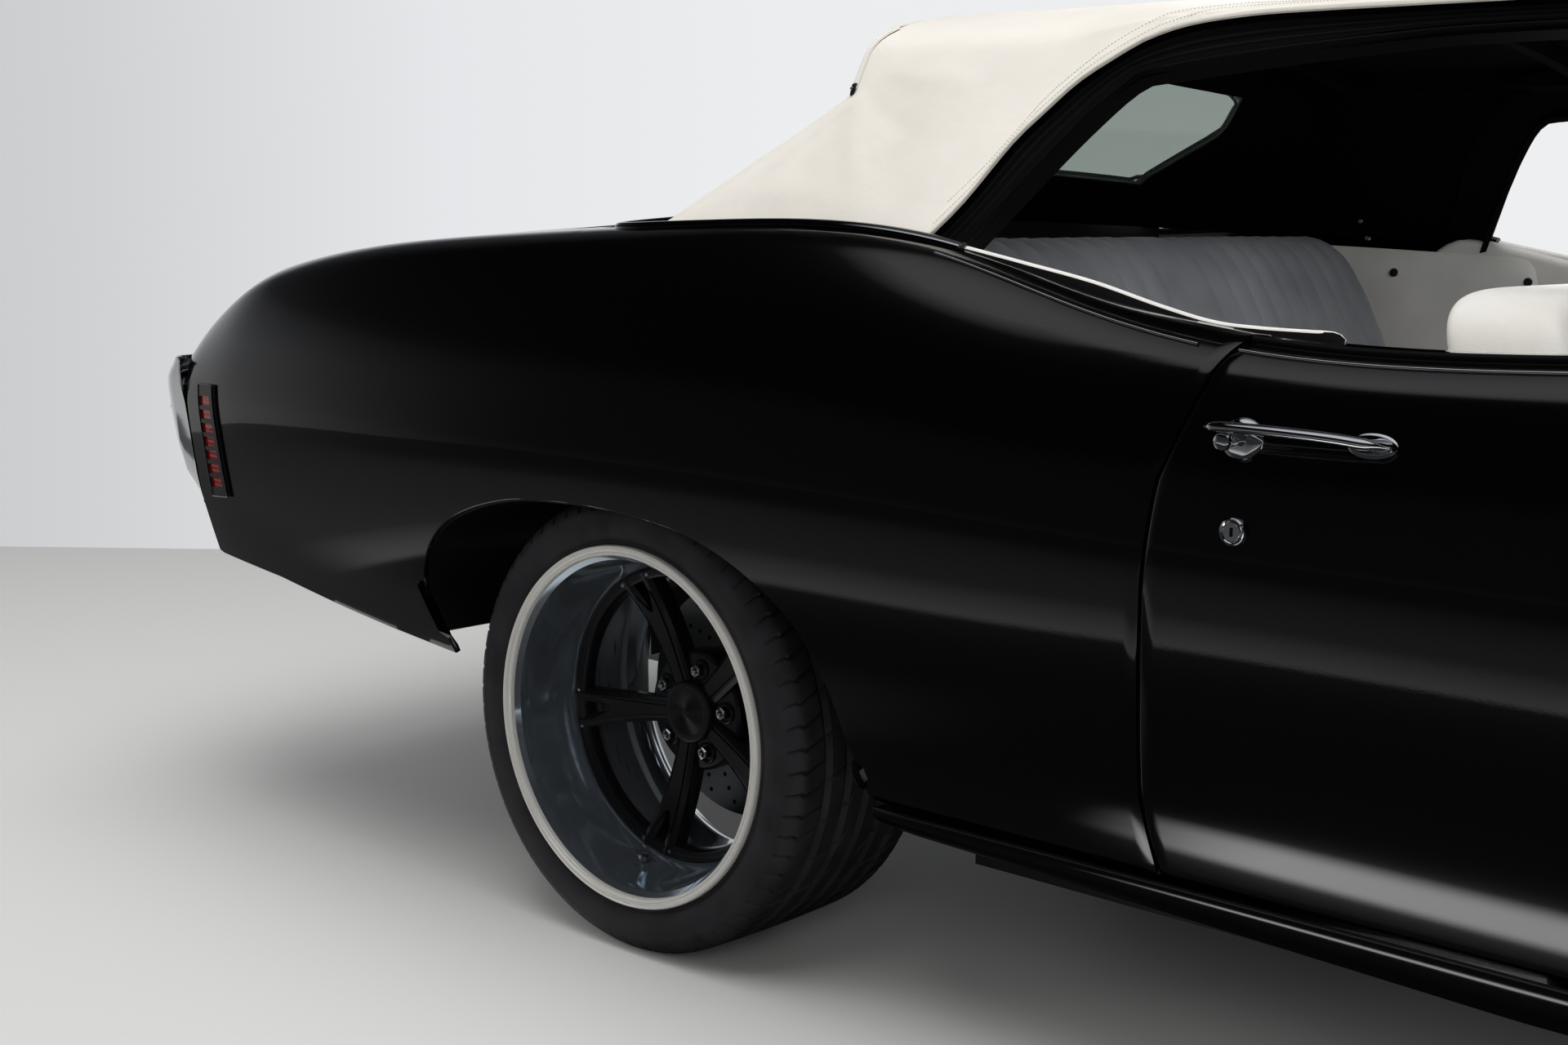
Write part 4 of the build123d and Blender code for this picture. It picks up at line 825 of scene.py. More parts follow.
def centre_parts(x, lip_y, ring_at):
    """Black centre: outer ring, five double spokes with webs, hub disc with lug seats, and the ribbed cap."""
    hub = ring_at + HUB_BACK
    ring = [(205.5, ring_at + 3), (204.4, ring_at + 0.6), (202, ring_at), (196, ring_at + 0.4),
            (191.5, ring_at + 3), (189, ring_at + 8), (188, ring_at + 22), (204, ring_at + 24)]
    disc = [(30, hub - 4), (70, hub), (80, hub + 1.2), (84, hub + 4), (85, hub + 10), (85, hub + 34),
            (30, hub + 34)]
    seat = [(0.0115, 0.004), (0.0115, -0.0012), (0.0132, -0.0026), (0.0152, -0.0018), (0.0165, 0.004)]
    parts = [turned(ring, x, lip_y, 128), turned(disc, x, lip_y, 72)]
    for k in range(5):
        angle = SPOKE_START + k * SPOKE_STEP
        parts += [spoke(x, lip_y, ring_at, angle, side) for side in (-1, 1)] + [web(x, lip_y, ring_at, angle)]
        spot = on_wheel(x, lip_y, LUG_R, angle - LUG_TURN, hub - 1)
        parts.append(lathe(np.array(seat), spot, 24))
    ribs = np.linspace(33, 6, 29)
    dome = ring_at + 19.4 - 2.6 * (1 - (ribs / 33) ** 2)
    cap = [(44, hub + 6), (44, ring_at + 25), (43.4, ring_at + 22.6), (41.6, ring_at + 20.4),
           (38, ring_at + 19.6)]
    cap += list(zip(ribs, dome + 0.35 * (np.arange(len(ribs)) % 2))) + [(0.3, ring_at + 16.8), (0.3, hub + 6)]
    parts.append(turned(cap, x, lip_y, 64))
    return join(parts)


def bright_parts(x, lip_y, ring_at):
    """Lug nuts, ring bolts and the valve stem."""
    hub = ring_at + HUB_BACK
    parts = []
    for k in range(5):
        angle = SPOKE_START + k * SPOKE_STEP
        parts.append(hex_nut(x, lip_y, LUG_R, angle - LUG_TURN, hub, 9.2, 15.0))
        for turn in (-RING_BOLT_TURN, RING_BOLT_TURN):
            parts.append(hex_nut(x, lip_y, 197.4, angle + turn, ring_at + 1, 3.1, 2.4))
    stem = math.radians(-100)
    parts.append(hex_nut(x, lip_y, 211, stem, ring_at - 24, 8.5, 9.0, "r"))
    p0, p1 = on_wheel(x, lip_y, 203, stem, ring_at - 24), on_wheel(x, lip_y, 196, stem, ring_at - 46)
    line = np.stack([p0 + (p1 - p0) * t for t in np.linspace(0, 1, 6)])
    parts.append(sweep(line, ring_profile(0.0042, 10), up=(1, 0, 0)))
    return join(parts)


def rotor_parts(x, lip_y, back, face):
    """Brake disc and its hat; black discs in the face are painted shade for its drilled holes."""
    disc = [(60, back), (76, back), (80, back + 4), (81, face - 2), (86, face), (166, face),
            (168, face + 2), (168, face + 22), (90, face + 22), (60, back + 10)]
    # painted shade: each drilled hole is a black disc standing just proud of the face
    drilling = [(0.0004, 0.002), (0.0004, -0.0002), (0.0034, -0.0002), (0.004, 0.002)]
    hole_shades = []
    for r, lead in ((100, 0.0), (117, 0.09), (134, 0.18), (151, 0.27)):
        for k in range(20):
            spot = on_wheel(x, lip_y, r, lead + 2 * math.pi * k / 20, face)
            hole_shades.append(lathe(np.array(drilling), spot, 8))
    return turned(disc, x, lip_y, 96), join(hole_shades)


def tyre_part(x, lip_y, width):
    """Low-profile road tyre: a section swept round the axle. Grooves are cut by pushing rows and columns of
    the grid inwards; the columns lean back across the tread so that the cross grooves slant."""
    side = [(229, 24), (236, 15), (246.5, 8.5), (249.5, 6), (252, 7.4), (256, 4.4), (266, 2.2), (279, 1.6),
            (283, 2.6), (286, 2.2), (293, 4.4), (299, 8.2), (304, 13), (308, 18.5), (310.6, 24)]
    crown_d = np.linspace(31, width / 2, 15)
    crown = [(TYRE_R - 2.2 * ((width / 2 - d) / (width / 2 - 24)) ** 2, d) for d in crown_d]
    half = side + crown
    section = np.array(half + [(r, width - d) for r, d in half[-2::-1]])
    count = SIPES * 4
    step = 2 * np.pi / SIPES
    local = np.array([0.0, 0.58, 0.7, 0.82]) * step
    angle = (np.arange(SIPES)[:, None] * step + local).reshape(-1)
    r, d = section[:, 0], section[:, 1]
    mid = np.abs(d - width / 2)
    wall = 20.0
    lean = 0.16 * (d - width / 2) / (width / 2) * np.where(mid > width / 2 - wall, 0.9, 1.0)
    aa = angle[:, None] + lean[None] + 0.05 * np.sign(d - width / 2)[None] * (mid[None] > 30)
    groove = np.arange(count) % 4 == 2
    outer_rib = width * 0.27
    shoulder = (r > 298) & (mid > outer_rib)
    centre = (r > 310) & (mid <= outer_rib)
    every_second = (np.arange(count) // 4) % 2 == 0
    cut = 4.4 * groove[:, None] * shoulder[None]
    cut = cut + 2.6 * (groove & every_second)[:, None] * (centre & (mid > 16))[None]
    for place in (0.0, width * 0.135, outer_rib):
        nearest = np.abs(mid - place) < (crown_d[1] - crown_d[0]) * 0.5 + 0.01
        cut = np.maximum(cut, 5.0 * (nearest & (r > 306))[None])
    rr = r[None] - cut
    pts = np.stack([x + rr * np.cos(aa), -lip_y + np.broadcast_to(d, rr.shape), AXLE_Z + rr * np.sin(aa)],
                   axis=-1)
    return pts.reshape(-1, 3) * MM, grid_faces(count, len(section), wrap_rows=True, wrap_cols=True)


for end, (x, lip_y, width, ring_at, rotor_at) in WHEEL_ROWS.items():
    lip, barrel = rim_parts(x, lip_y, width, ring_at)
    # hole_shades are black discs: painted shade for the disc's drilled holes
    rotor, hole_shades = rotor_parts(x, lip_y, ring_at + 70, rotor_at)
    pieces = (
        ("lip", lip, LIP, 30), ("barrel", barrel, BARREL, 34),
        ("centre", centre_parts(x, lip_y, ring_at), CENTRE, 28),
        ("nuts", bright_parts(x, lip_y, ring_at), CHROME, 24), ("rotor", rotor, IRON, 30),
        ("drilling_shades", hole_shades, SEAL_AND_HOLE_SHADE, 30),
    )
    for side in ("right", "left"):
        wheel = f"wheel_{end}_{side}"
        for part_name, part, finish, sharp in pieces:
            build(f"{wheel}_{part_name}", *on_side(part, side), finish, wheel, [wheel], sharp)
        tyre = on_side(tyre_part(x, lip_y, width), side)
        build(f"tyre_{end}_{side}_tread", *tyre, RUBBER, wheel, [f"tyre_{end}_{side}"], 32)


# Soft top
# Rings give height, half width, and the back's station at the corner and in the middle, in millimetres
TOP_RINGS = np.array([
    (940, 791, -1423, -1609), (985, 760, -1358, -1545), (1150, 647, -1120, -1310),
    (1215, 603, -1127, -1275), (1330, 530, -1090, -1200),
], dtype=float)
ROOF_Z = 1300.0
EDGE_Z = 1238.0
# The cloth's grid: columns round the back, to the hem's start and up it, rows up the side and over the roof
N_BACK, N_SIDE, N_HEM, N_UP, N_ROOF = 60, 44, 64, 46, 34
# The window's opening in the cloth's grid: its last column, first row and last row
WINDOW = (37, 12, 36)
HEM = [
    (-880, 964), (-846, 1013), (-811, 1086), (-782, 1124), (-752, 1159), (-712, 1189), (-679, 1208),
    (-630, 1222), (-563, 1229), (-480, 1231), (-200, 1230), (262, 1228),
]


def top_ring(z):
    """Half width, corner station and middle station of the raised top at a height."""
    return [np.interp(z, TOP_RINGS[:, 0], TOP_RINGS[:, k]) for k in (1, 2, 3)]


def roof_z(y):
    """Roof arch: a circle 120 mm high over 820 mm of half width."""
    half, rise = 820.0, 120.0
    radius = (half**2 + rise**2) / (2 * rise)
    return ROOF_Z - radius + np.sqrt(radius**2 - y**2)


def shell(points, depth, keep):
    """Closed shell from a surface grid in millimetres and a mask of its kept cells: front, back and rims."""
    n = unit_normals(points)
    rows, cols = points.shape[:2]
    count = rows * cols
    index = np.arange(count).reshape(rows, cols)
    a, b, c, d = index[:-1, :-1], index[1:, :-1], index[1:, 1:], index[:-1, 1:]
    front = np.stack([a, b, c, d], axis=-1)[keep]
    padded = np.pad(keep, 1)
    rims = []
    low, high = padded[1:-1, :-1], padded[1:-1, 1:]
    e0, e1 = index[:-1], index[1:]
    for mask, p, q in ((high & ~low, e1, e0), (low & ~high, e0, e1)):
        rims.append(np.stack([p[mask], q[mask], q[mask] + count, p[mask] + count], axis=-1))
    low, high = padded[:-1, 1:-1], padded[1:, 1:-1]
    e0, e1 = index[:, :-1], index[:, 1:]
    for mask, p, q in ((high & ~low, e0, e1), (low & ~high, e1, e0)):
        rims.append(np.stack([p[mask], q[mask], q[mask] + count, p[mask] + count], axis=-1))
    faces = np.concatenate([front, front[:, ::-1] + count] + rims)
    return np.concatenate([points.reshape(-1, 3), (points - n * depth).reshape(-1, 3)]) * MM, faces


def tidy(part):
    """Drops vertices that no face uses."""
    verts, faces = np.asarray(part[0]).reshape(-1, 3), np.asarray(part[1])
    used, new = np.unique(faces, return_inverse=True)
    return verts[used], new.reshape(faces.shape)


def wrinkles(p):
    """Folds in the stretched cloth, each a ridge of a few millimetres: long pulls from the rear bow's end
    down to the well and forward to the hem, slack ripples under the bow, and shallow waves all over."""
    x, z = p[..., 0], p[..., 2]
    side = smoothstep(-1400, -1150, x) * (1 - smoothstep(1170, 1235, z))
    lift = np.zeros_like(x)
    for x0, z0, x1, z1, width, height in (
        (-1095, 1150, -1010, 985, 13, 2.4), (-1088, 1160, -960, 1080, 11, -1.8),
        (-1070, 1190, -900, 1150, 14, 1.8), (-1030, 1180, -985, 1000, 26, -2.6),
        (-960, 1200, -930, 1010, 30, 2.2), (-1180, 1090, -1130, 985, 22, 1.8),
        (-1090, 1135, -1200, 1040, 15, -2.0), (-880, 1180, -900, 1040, 22, -1.6),
        (-1250, 1030, -1010, 1010, 16, 1.3),
    ):
        along = np.array([x1 - x0, z1 - z0], dtype=float)
        length = np.hypot(*along)
        along /= length
        t = (x - x0) * along[0] + (z - z0) * along[1]
        off = (x - x0) * -along[1] + (z - z0) * along[0] + 5 * np.sin(t / 31)
        fade = smoothstep(-20, 25, t) * (1 - smoothstep(length - 60, length + 10, t))
        lift += height * fade * np.exp(-((off / width) ** 2))
    waves = 0.9 * np.sin(x / 37 + 1.4 * np.sin(z / 60)) * np.sin(z / 83 + x / 210)
    return (lift + waves) * side


def cloth_grid():
    """Right half of the cloth as a grid, rounded at corner and edge: columns go round the back, along the
    foot and up the hem; rows climb the leaning side and then run over the arch to the centre line."""
    s = np.concatenate([np.linspace(0, 0.66, WINDOW[0]), np.linspace(0.66, 1, N_BACK - WINDOW[0] + 1)[1:]])
    foot_x, foot_y = -1545 + 187 * s**2, 760 * s
    back_z = top_surface(foot_x, foot_y) + 1.0
    side_x = np.linspace(-1358, HEM[0][0], N_SIDE + 1)[1:]
    side_z = np.linspace(back_z[-1], HEM[0][1], N_SIDE + 1)[1:]
    hem = smooth_line(HEM, N_HEM + 1)[1:]
    low_x = np.concatenate([np.zeros(N_BACK), side_x, hem[:, 0]])
    low_z = np.concatenate([back_z[:N_BACK], side_z, hem[:, 1]])
    tau = np.clip((hem[:, 0] - hem[0, 0]) / 356.0, 0, 1)
    lean = np.clip(s / 0.66, 0, 1) * (1 - smoothstep(0.7, 1.0, s))
    up_x = np.concatenate([np.zeros(N_BACK), np.linspace(-1126, -806, N_SIDE + 1)[1:],
                           hem[:, 0] + 74 * (1 - tau)])
    s_all = np.concatenate([s[:N_BACK], np.ones(N_SIDE + N_HEM)])
    lean = np.concatenate([lean[:N_BACK], np.zeros(N_SIDE + N_HEM)])
    up_z = ROOF_Z - (ROOF_Z - EDGE_Z) * (s_all + 0.14 * lean) ** 2
    v = np.linspace(0, 1, N_UP)[None]
    z = low_z[:, None] + (up_z - low_z)[:, None] * v
    half, corner, mid = top_ring(z)
    ss = s_all[:, None] + lean[:, None] * np.interp(v, [0, 0.3, 0.85, 1], [0, -0.035, 0.14, 0.14])
    x_back = mid + (corner - mid) * ss**2
    part = np.concatenate([np.zeros(N_BACK), np.linspace(0, 1, N_SIDE + 1)[1:], np.ones(N_HEM)])[:, None]
    low_c, up_c = top_ring(low_z)[1], top_ring(up_z)[1]
    reach = (low_x - low_c)[:, None] * (1 - v) + (up_x - up_c)[:, None] * v
    x_side = (1 - part) * (corner + reach) + part * (low_x[:, None] * (1 - v) + up_x[:, None] * v)
    on_back = (np.arange(len(s_all)) < N_BACK)[:, None]
    x = np.where(on_back, x_back, x_side)
    y = -half * np.where(on_back, ss, 1.0)
    side = np.stack([x, y, z], axis=-1)
    edge = side[:, -1]
    centre_x = np.concatenate([np.linspace(edge[0, 0], -1080, N_BACK),
                               np.linspace(-1080, -760, N_SIDE + 1)[1:],
                               np.linspace(-760, 326, N_HEM + 1)[1:]])
    w = np.linspace(0, 1, N_ROOF)[1:][None]
    rx = edge[:, :1] + (centre_x[:, None] - edge[:, :1]) * w
    ry = edge[:, 1:2] * (1 - w)
    grid = np.concatenate([side, np.stack([rx, ry, roof_z(ry)], axis=-1)], axis=1)
    rows = np.exp(-((np.arange(grid.shape[1]) - N_UP + 1) / 4.5) ** 2)
    cols = np.exp(-((np.arange(grid.shape[0]) - N_BACK + 1) / 5.5) ** 2)
    for _ in range(26):
        grid[:, 1:-1] += 0.5 * rows[None, 1:-1, None] * ((grid[:, 2:] + grid[:, :-2]) / 2 - grid[:, 1:-1])
        grid[1:-1] += 0.5 * cols[1:-1, None, None] * ((grid[2:] + grid[:-2]) / 2 - grid[1:-1])
    grid += unit_normals(grid) * wrinkles(grid)[..., None]
    keep = np.ones((grid.shape[0] - 1, grid.shape[1] - 1), dtype=bool)
    keep[:WINDOW[0], WINDOW[1]:WINDOW[2]] = False
    keep[WINDOW[0] - 1, [WINDOW[1], WINDOW[2] - 1]] = True
    return grid, keep


def window_parts(grid):
    """Pane between cloth and lining, from the cloth's own grid, and the rubber bead round its opening."""
    last, low, high = WINDOW
    pane = (grid - unit_normals(grid) * 4.0)[:last + 2, low - 1:high + 2]
    pane = np.concatenate([(pane * ACROSS)[:0:-1], pane])
    edge = np.concatenate([
        grid[:last - 1, low], grid[last - 1:last, low + 1], grid[last, low + 1:high - 1],
        grid[last - 1:last, high - 1], grid[last - 2::-1, high],
    ])
    edge = smooth_line(np.concatenate([edge, (edge * ACROSS)[-2:0:-1]]), 300, True)
    bead_part = sweep(edge * MM, ring_profile(3.4 * MM, 8), closed=True, up=(1, 0, 0.3))
    return thick(pane, 4.0, 0.0), bead_part


def whole(grid, mask):
    """Adds the mirror image of a right-hand grid across the centre line."""
    return np.concatenate([(grid * ACROSS)[:0:-1], grid]), np.concatenate([mask[::-1], mask])


def stitches(path, out, length=3.4, pitch=4.6, radius=0.55):
    """Row of thread stitches along a path in millimetres, each a small spindle half sunk in the cloth."""
    total = np.linalg.norm(np.diff(path, axis=0), axis=1).sum()
    count = max(2, int(total / pitch))
    spots = resample(path, count)
    tangent = np.gradient(spots, axis=0)
    tangent /= np.linalg.norm(tangent, axis=1)[:, None]
    rise = resample(out, count) if np.ndim(out) > 1 else np.broadcast_to(out, tangent.shape)
    rise = rise / np.linalg.norm(rise, axis=1)[:, None]
    across = np.cross(tangent, rise)
    a = np.arange(4) * np.pi / 2
    ring = across[:, None] * np.cos(a)[None, :, None] + rise[:, None] * np.sin(a)[None, :, None]
    verts = np.concatenate([
        (spots - tangent * length / 2)[:, None], spots[:, None] + ring * radius,
        (spots + tangent * length / 2)[:, None],
    ], axis=1)
    tri = [(0, 1 + (k + 1) % 4, 1 + k) for k in range(4)] + [(5, 1 + k, 1 + (k + 1) % 4) for k in range(4)]
    faces = np.array(tri)[None] + 6 * np.arange(count)[:, None, None]
    return verts.reshape(-1, 3) * MM, faces.reshape(-1, 3)


def hem_line(grid, inward, lift):
    """Line on the cloth at a distance from its edge over the side opening, and the outward directions."""
    first = N_BACK + N_SIDE - 1
    cols = grid[first:]
    n = unit_normals(grid)[first:]
    rise = cols[:, 3] - cols[:, 0]
    rise /= np.linalg.norm(rise, axis=1)[:, None]
    along = np.gradient(cols[:, 0], axis=0)
    along /= np.linalg.norm(along, axis=1)[:, None]
    spread_by = np.linalg.norm(np.cross(rise, along), axis=1)
    line, out = [], []
    for col, normal, share in zip(cols, n, spread_by):
        length = np.concatenate([[0], np.cumsum(np.linalg.norm(np.diff(col, axis=0), axis=1))])
        at = inward / max(share, 0.5)
        line.append([np.interp(at, length, col[:, k]) for k in range(3)])
        out.append([np.interp(at, length, normal[:, k]) for k in range(3)])
    return np.array(line) + np.array(out) * lift, np.array(out)


def hem_parts(grid):
    """Turned hem along the side opening with its rolled edge, and two rows of stitching."""
    steps = ((0.0, 0.3), (1.5, 1.8), (4, 2.3), (16, 2.2), (31, 2.1), (34, 1.2), (35, -0.6))
    band = thick(np.stack([hem_line(grid, inward, lift)[0] for inward, lift in steps], axis=1), 3.0, 0.0)
    return band, join([stitches(*hem_line(grid, inward, 2.5)) for inward in (13.0, 29.5)])


def binding_part(grid):
    """Flat binding from its tip up the rear corner and along the roof's rear edge to the other tip."""
    n = unit_normals(grid)
    above = grid + n * 1.2
    tip_row, count = 31, 110
    line = np.concatenate([above[N_BACK, tip_row:N_UP], above[N_BACK::-1, N_UP]])
    out = np.concatenate([n[N_BACK, tip_row:N_UP], n[N_BACK::-1, N_UP]])
    line, out = smooth_line(line, count), resample(out, count)
    line, out = (np.concatenate([half, (half * ACROSS)[-2::-1]]) for half in (line, out))
    profile = np.array([(6.2, -1), (5.4, 1.8), (2.6, 3.0), (-2.6, 3.0), (-5.4, 1.8), (-6.2, -1)])
    return sweep(line * MM, profile * MM, up=out), line, out


def binding_tip(spot, along, out):
    """Dark metal end cap of the binding, a tapered tongue with a domed screw, for one side."""
    across = np.cross(along, out)
    a = np.linspace(0, np.pi, 9)
    rows = []
    for k in np.linspace(0, 1, 9):
        half = 6.6 * math.sqrt(max(1 - k**3, 0.03))
        rise = 0.6 + 3.9 * (1 - 0.5 * k) * np.sin(a)
        rows.append(spot + along * (17 * k - 7) + across * (half * np.cos(a))[:, None] + out * rise[:, None])
    screw = np.array([(0.3, 2), (0.3, -1.6), (1.4, -1.4), (2.3, -0.6), (2.6, 1.0)])
    v, faces = lathe(screw * MM, np.zeros(3), 14)
    v = v[:, :1] * along + v[:, 2:] * across - v[:, 1:2] * out
    return thick(np.array(rows), 3.0, 0.0), (v + (spot + out * 4.2) * MM, faces)


def soft_top():
    """Cloth, lining, hem, stitching, binding with its tips, window pane and bead, all from one grid."""
    grid, mask = cloth_grid()
    points, keep = whole(grid, mask)
    build("soft_top_cloth", *tidy(shell(points, 3.0, keep)), CLOTH, "body", ["soft_top"], 60)
    # the lining takes every second line of the grid, with the window's opening at the same places
    coarse = (grid - 11.0 * unit_normals(grid))[np.r_[0, 1:len(grid):2]][:, ::2]
    coarse_mask = np.ones((coarse.shape[0] - 1, coarse.shape[1] - 1), dtype=bool)
    coarse_mask[:WINDOW[0] // 2 + 1, WINDOW[1] // 2:WINDOW[2] // 2] = False
    lining, lining_mask = whole(coarse, coarse_mask)
    build("soft_top_lining", *tidy(shell(lining, 2.0, lining_mask)), LINING, "body", ["soft_top"], 60)
    band, rows = hem_parts(grid)
    build("soft_top_hem", *pair(band), CLOTH, "body", ["soft_top"])
    build("soft_top_stitching", *pair(rows), THREAD, "body", ["soft_top"])
    binding, line, out = binding_part(grid)
    build("soft_top_binding", *binding, CLOTH, "body", ["soft_top"], 50)
    along = line[0] - line[2]
    solid, screw = binding_tip(line[0], along / np.linalg.norm(along), out[0] / np.linalg.norm(out[0]))
    build("binding_tips", *pair(solid), GUNMETAL, "body", ["soft_top"], 40)
    build("binding_screws", *pair(screw), CHROME, "body", ["soft_top"], 40)
    pane, bead_part = window_parts(grid)
    build("rear_window_pane", *pane, TINT, "body", ["rear_window"], 60)
    build("rear_window_bead", *bead_part, SEAL_AND_HOLE_SHADE, "body", ["rear_window"], 60)


RAIL_INNER = [(258, 1198), (-100, 1208), (-284, 1208), (-375, 1203), (-510, 1192), (-639, 1178),
              (-684, 1170), (-729, 1120), (-781, 1042), (-834, 956)]


def rail_part():
    """Moulded seal under the cloth's edge: four rounded ribs running round the side opening."""
    outer = smooth_line(HEM, 72)
    inner = smooth_line(RAIL_INNER[::-1], 72)
    t = np.linspace(-0.12, 1.0, 45)
    line = outer[:, None] + (inner - outer)[:, None] * t[None, :, None]
    half = top_ring(np.minimum(line[..., 1], EDGE_Z))[0]
    ribs = np.abs(np.sin(np.pi * 4 * np.clip(t, 0, 1))) ** 0.6
    depth = 9 + 5 * (1 - ribs) + 4 * t + 22 * smoothstep(0.9, 1.0, t)
    lean = 0.685
    unit = np.array([0, -1, lean]) / math.hypot(1, lean)
    points = np.stack([line[..., 0], -half, line[..., 1]], axis=-1) - unit * depth[None, :, None]
    return thick(points, 10.0, 0.0, flip=True)


soft_top()
build("top_rail_seals", *pair(rail_part()), SEAL_AND_HOLE_SHADE, "body")


# Bright and black trim on the body's right-hand side, mirrored for the left
def on_body(x, z, out=0.0):
    """Points on the right-hand side at stations and heights, moved outwards across the car."""
    return skin(x, z) + np.array([0, -1.0, 0]) * out


def shoulder_line(x, t=0.5, out=0.0):
    """Points along the shoulder's blend, t from 0 at the side to 1 on top, raised along the slant."""
    y_sh = spline_rows(x)[:, 1]
    w = w_at(x, y_sh - SHOULDER_R) - SHOULDER_SPAN * (1 - t)
    return skin(x, w) + np.array([0, -0.7, 0.7]) * out


def bead(name, line, profile, finish, scale=None, both_sides=True):
    """Strip of trim on the body: a profile carried along a line in millimetres, on one or on both sides."""
    part = sweep(np.asarray(line) * MM, np.asarray(profile) * MM, scale=scale)
    build(name, *(pair(part) if both_sides else part), finish, "body", (), 50)


def well_moulding():
    """Line of the moulding round the top's well: along the side, round the corner, bowed across the back."""
    side = [(x, -772.0) for x in np.linspace(-822, -1380, 12)] + [(-1425, -762), (-1452, -735), (-1466, -690)]
    back = [(-1556 + 112 * (s**2), -760 * s) for s in np.linspace(0.84, 0, 16)]
    plan = smooth_line(side + back, 150)
    plan = np.concatenate([plan, (plan * np.array([1, -1]))[-2::-1]])
    return np.concatenate([plan, top_surface(plan[:, 0], plan[:, 1])[:, None]], axis=1)


HALF_ROUND = [(-9, -2), (-8.4, 3), (-5.5, 6.2), (0, 7.4), (5.5, 6.2), (8.4, 3), (9, -2)]
moulding = well_moulding()
edge_strip = [(-7.6, 0), (-8.8, 1.4), (-10.4, 0), (-8.8, -1.4)]
bead("well_moulding", moulding, HALF_ROUND, PAINT, both_sides=False)
bead("well_moulding_edge", moulding + np.array([0, 0, 2.6]), edge_strip, CHROME, both_sides=False)

PINCH = [(-818, 956), (-733, 940), (-636, 921), (-548, 898), (-479, 883), (-422, 879), (-359, 878),
         (-332, 878), (-322, 872)]
pinch = smooth_line(PINCH, 70)
pinch = np.stack([pinch[:, 0], np.full(len(pinch), -769.0), pinch[:, 1]], axis=1)
taper = np.minimum(1.0, 0.45 + np.arange(len(pinch))[::-1] * 0.14)
bead("pinch_welt", pinch, ring_profile(4.6, 14, 0.9), IVORY, taper)
belt_drop = np.array([(0, 0), (-4, -5), (-10, -16), (-16, -34), (-12, -46)], dtype=float)
belt_inner = np.stack([pinch + np.array([0, dy, dz]) for dy, dz in belt_drop], axis=1)
build("belt_inner", *pair(thick(belt_inner, 4.0, 0.0)), SEAL_AND_HOLE_SHADE, "body", (), 50)
belt_x = np.linspace(-838, -446, 60)
bead("belt_reveal", shoulder_line(belt_x, 0.45, 0.6), ring_profile(2.0, 8), CHROME)
door_x = np.linspace(-396, 712, 80)
for side in ("right", "left"):
    for name, t, radius, finish in (("reveal", 0.5, 2.0, CHROME), ("glass_seal", 1.0, 5.0, SEAL_AND_HOLE_SHADE)):
        line = sweep(shoulder_line(door_x, t, 0.8) * MM, ring_profile(radius * MM, 8))
        build(f"door_{name}_{side}", *on_side(line, side), finish, f"door_{side}", (), 50)


def marker(corners, rows_open, cols_open, proud=5.0):
    """Bezel on the body with rows of openings, its lens behind, and a bead round the border.
    Corners are stations and heights."""
    tl, tr, br, bl = (np.array(c, dtype=float) for c in corners)

    def place(a, b, out):
        """Point on the body between the four corners, by shares across and down."""
        xz = (1 - a) * (1 - b) * tl + a * (1 - b) * tr + a * b * br + (1 - a) * b * bl
        return on_body(xz[..., 0], xz[..., 1], out)

    cols = np.unique(np.concatenate([np.linspace(0, 1, 9), cols_open]))
    rows = np.unique(np.concatenate([np.linspace(0, 1, 15), np.ravel(rows_open)]))
    b, a = np.meshgrid(rows, cols, indexing="ij")
    mid_b, mid_a = (rows[:-1] + rows[1:]) / 2, (cols[:-1] + cols[1:]) / 2
    hole_b = np.zeros(len(mid_b), dtype=bool)
    for low, high in rows_open:
        hole_b |= (mid_b > low) & (mid_b < high)
    hole = hole_b[:, None] & ((mid_a > cols_open[0]) & (mid_a < cols_open[1]))[None]
    bezel = tidy(shell(place(a[..., None], b[..., None], proud), 5.5, ~hole))
    inner_b, inner_a = np.meshgrid(np.linspace(0.02, 0.98, 24), np.linspace(0.03, 0.97, 9), indexing="ij")
    lens_part = thick(place(inner_a[..., None], inner_b[..., None], proud - 3.2), 2.0, 0.0)
    short, long = np.linspace(0, 1, 10), np.linspace(0, 1, 30)
    loop = [(t, 0) for t in short] + [(1, t) for t in long[1:]]
    loop = np.array(loop + [(1 - t, 1) for t in short[1:]] + [(0, 1 - t) for t in long[1:-1]])
    border = place(loop[:, :1], loop[:, 1:], proud - 0.4)
    edge = sweep(border * MM, ring_profile(1.6 * MM, 8), closed=True, up=(0, 1, 0))
    return bezel, lens_part, edge


openings = [(0.105 + 0.1215 * k, 0.19 + 0.1215 * k) for k in range(7)]
rear_corners = [(-2311, 702), (-2258, 704), (-2206, 525), (-2262, 521)]
front_corners = [(2240, 690), (2340, 690), (2340, 650), (2240, 650)]
rear_bezel, rear_lens, rear_edge = marker(rear_corners, openings, (0.04, 0.78))
front_bezel, front_lens, front_edge = marker(front_corners, [(0.12, 0.88)], (0.06, 0.94))
build("marker_bezels", *pair(join([rear_bezel, front_bezel])), GUNMETAL, "body", ["side_markers"], 30)
build("marker_edges", *pair(join([rear_edge, front_edge])), PAINT, "body", ["side_markers"], 50)
build("marker_rear_lenses", *pair(rear_lens), RED, "body", ["side_markers"], 30)
build("marker_front_lenses", *pair(front_lens), AMBER, "body", ["side_markers"], 30)


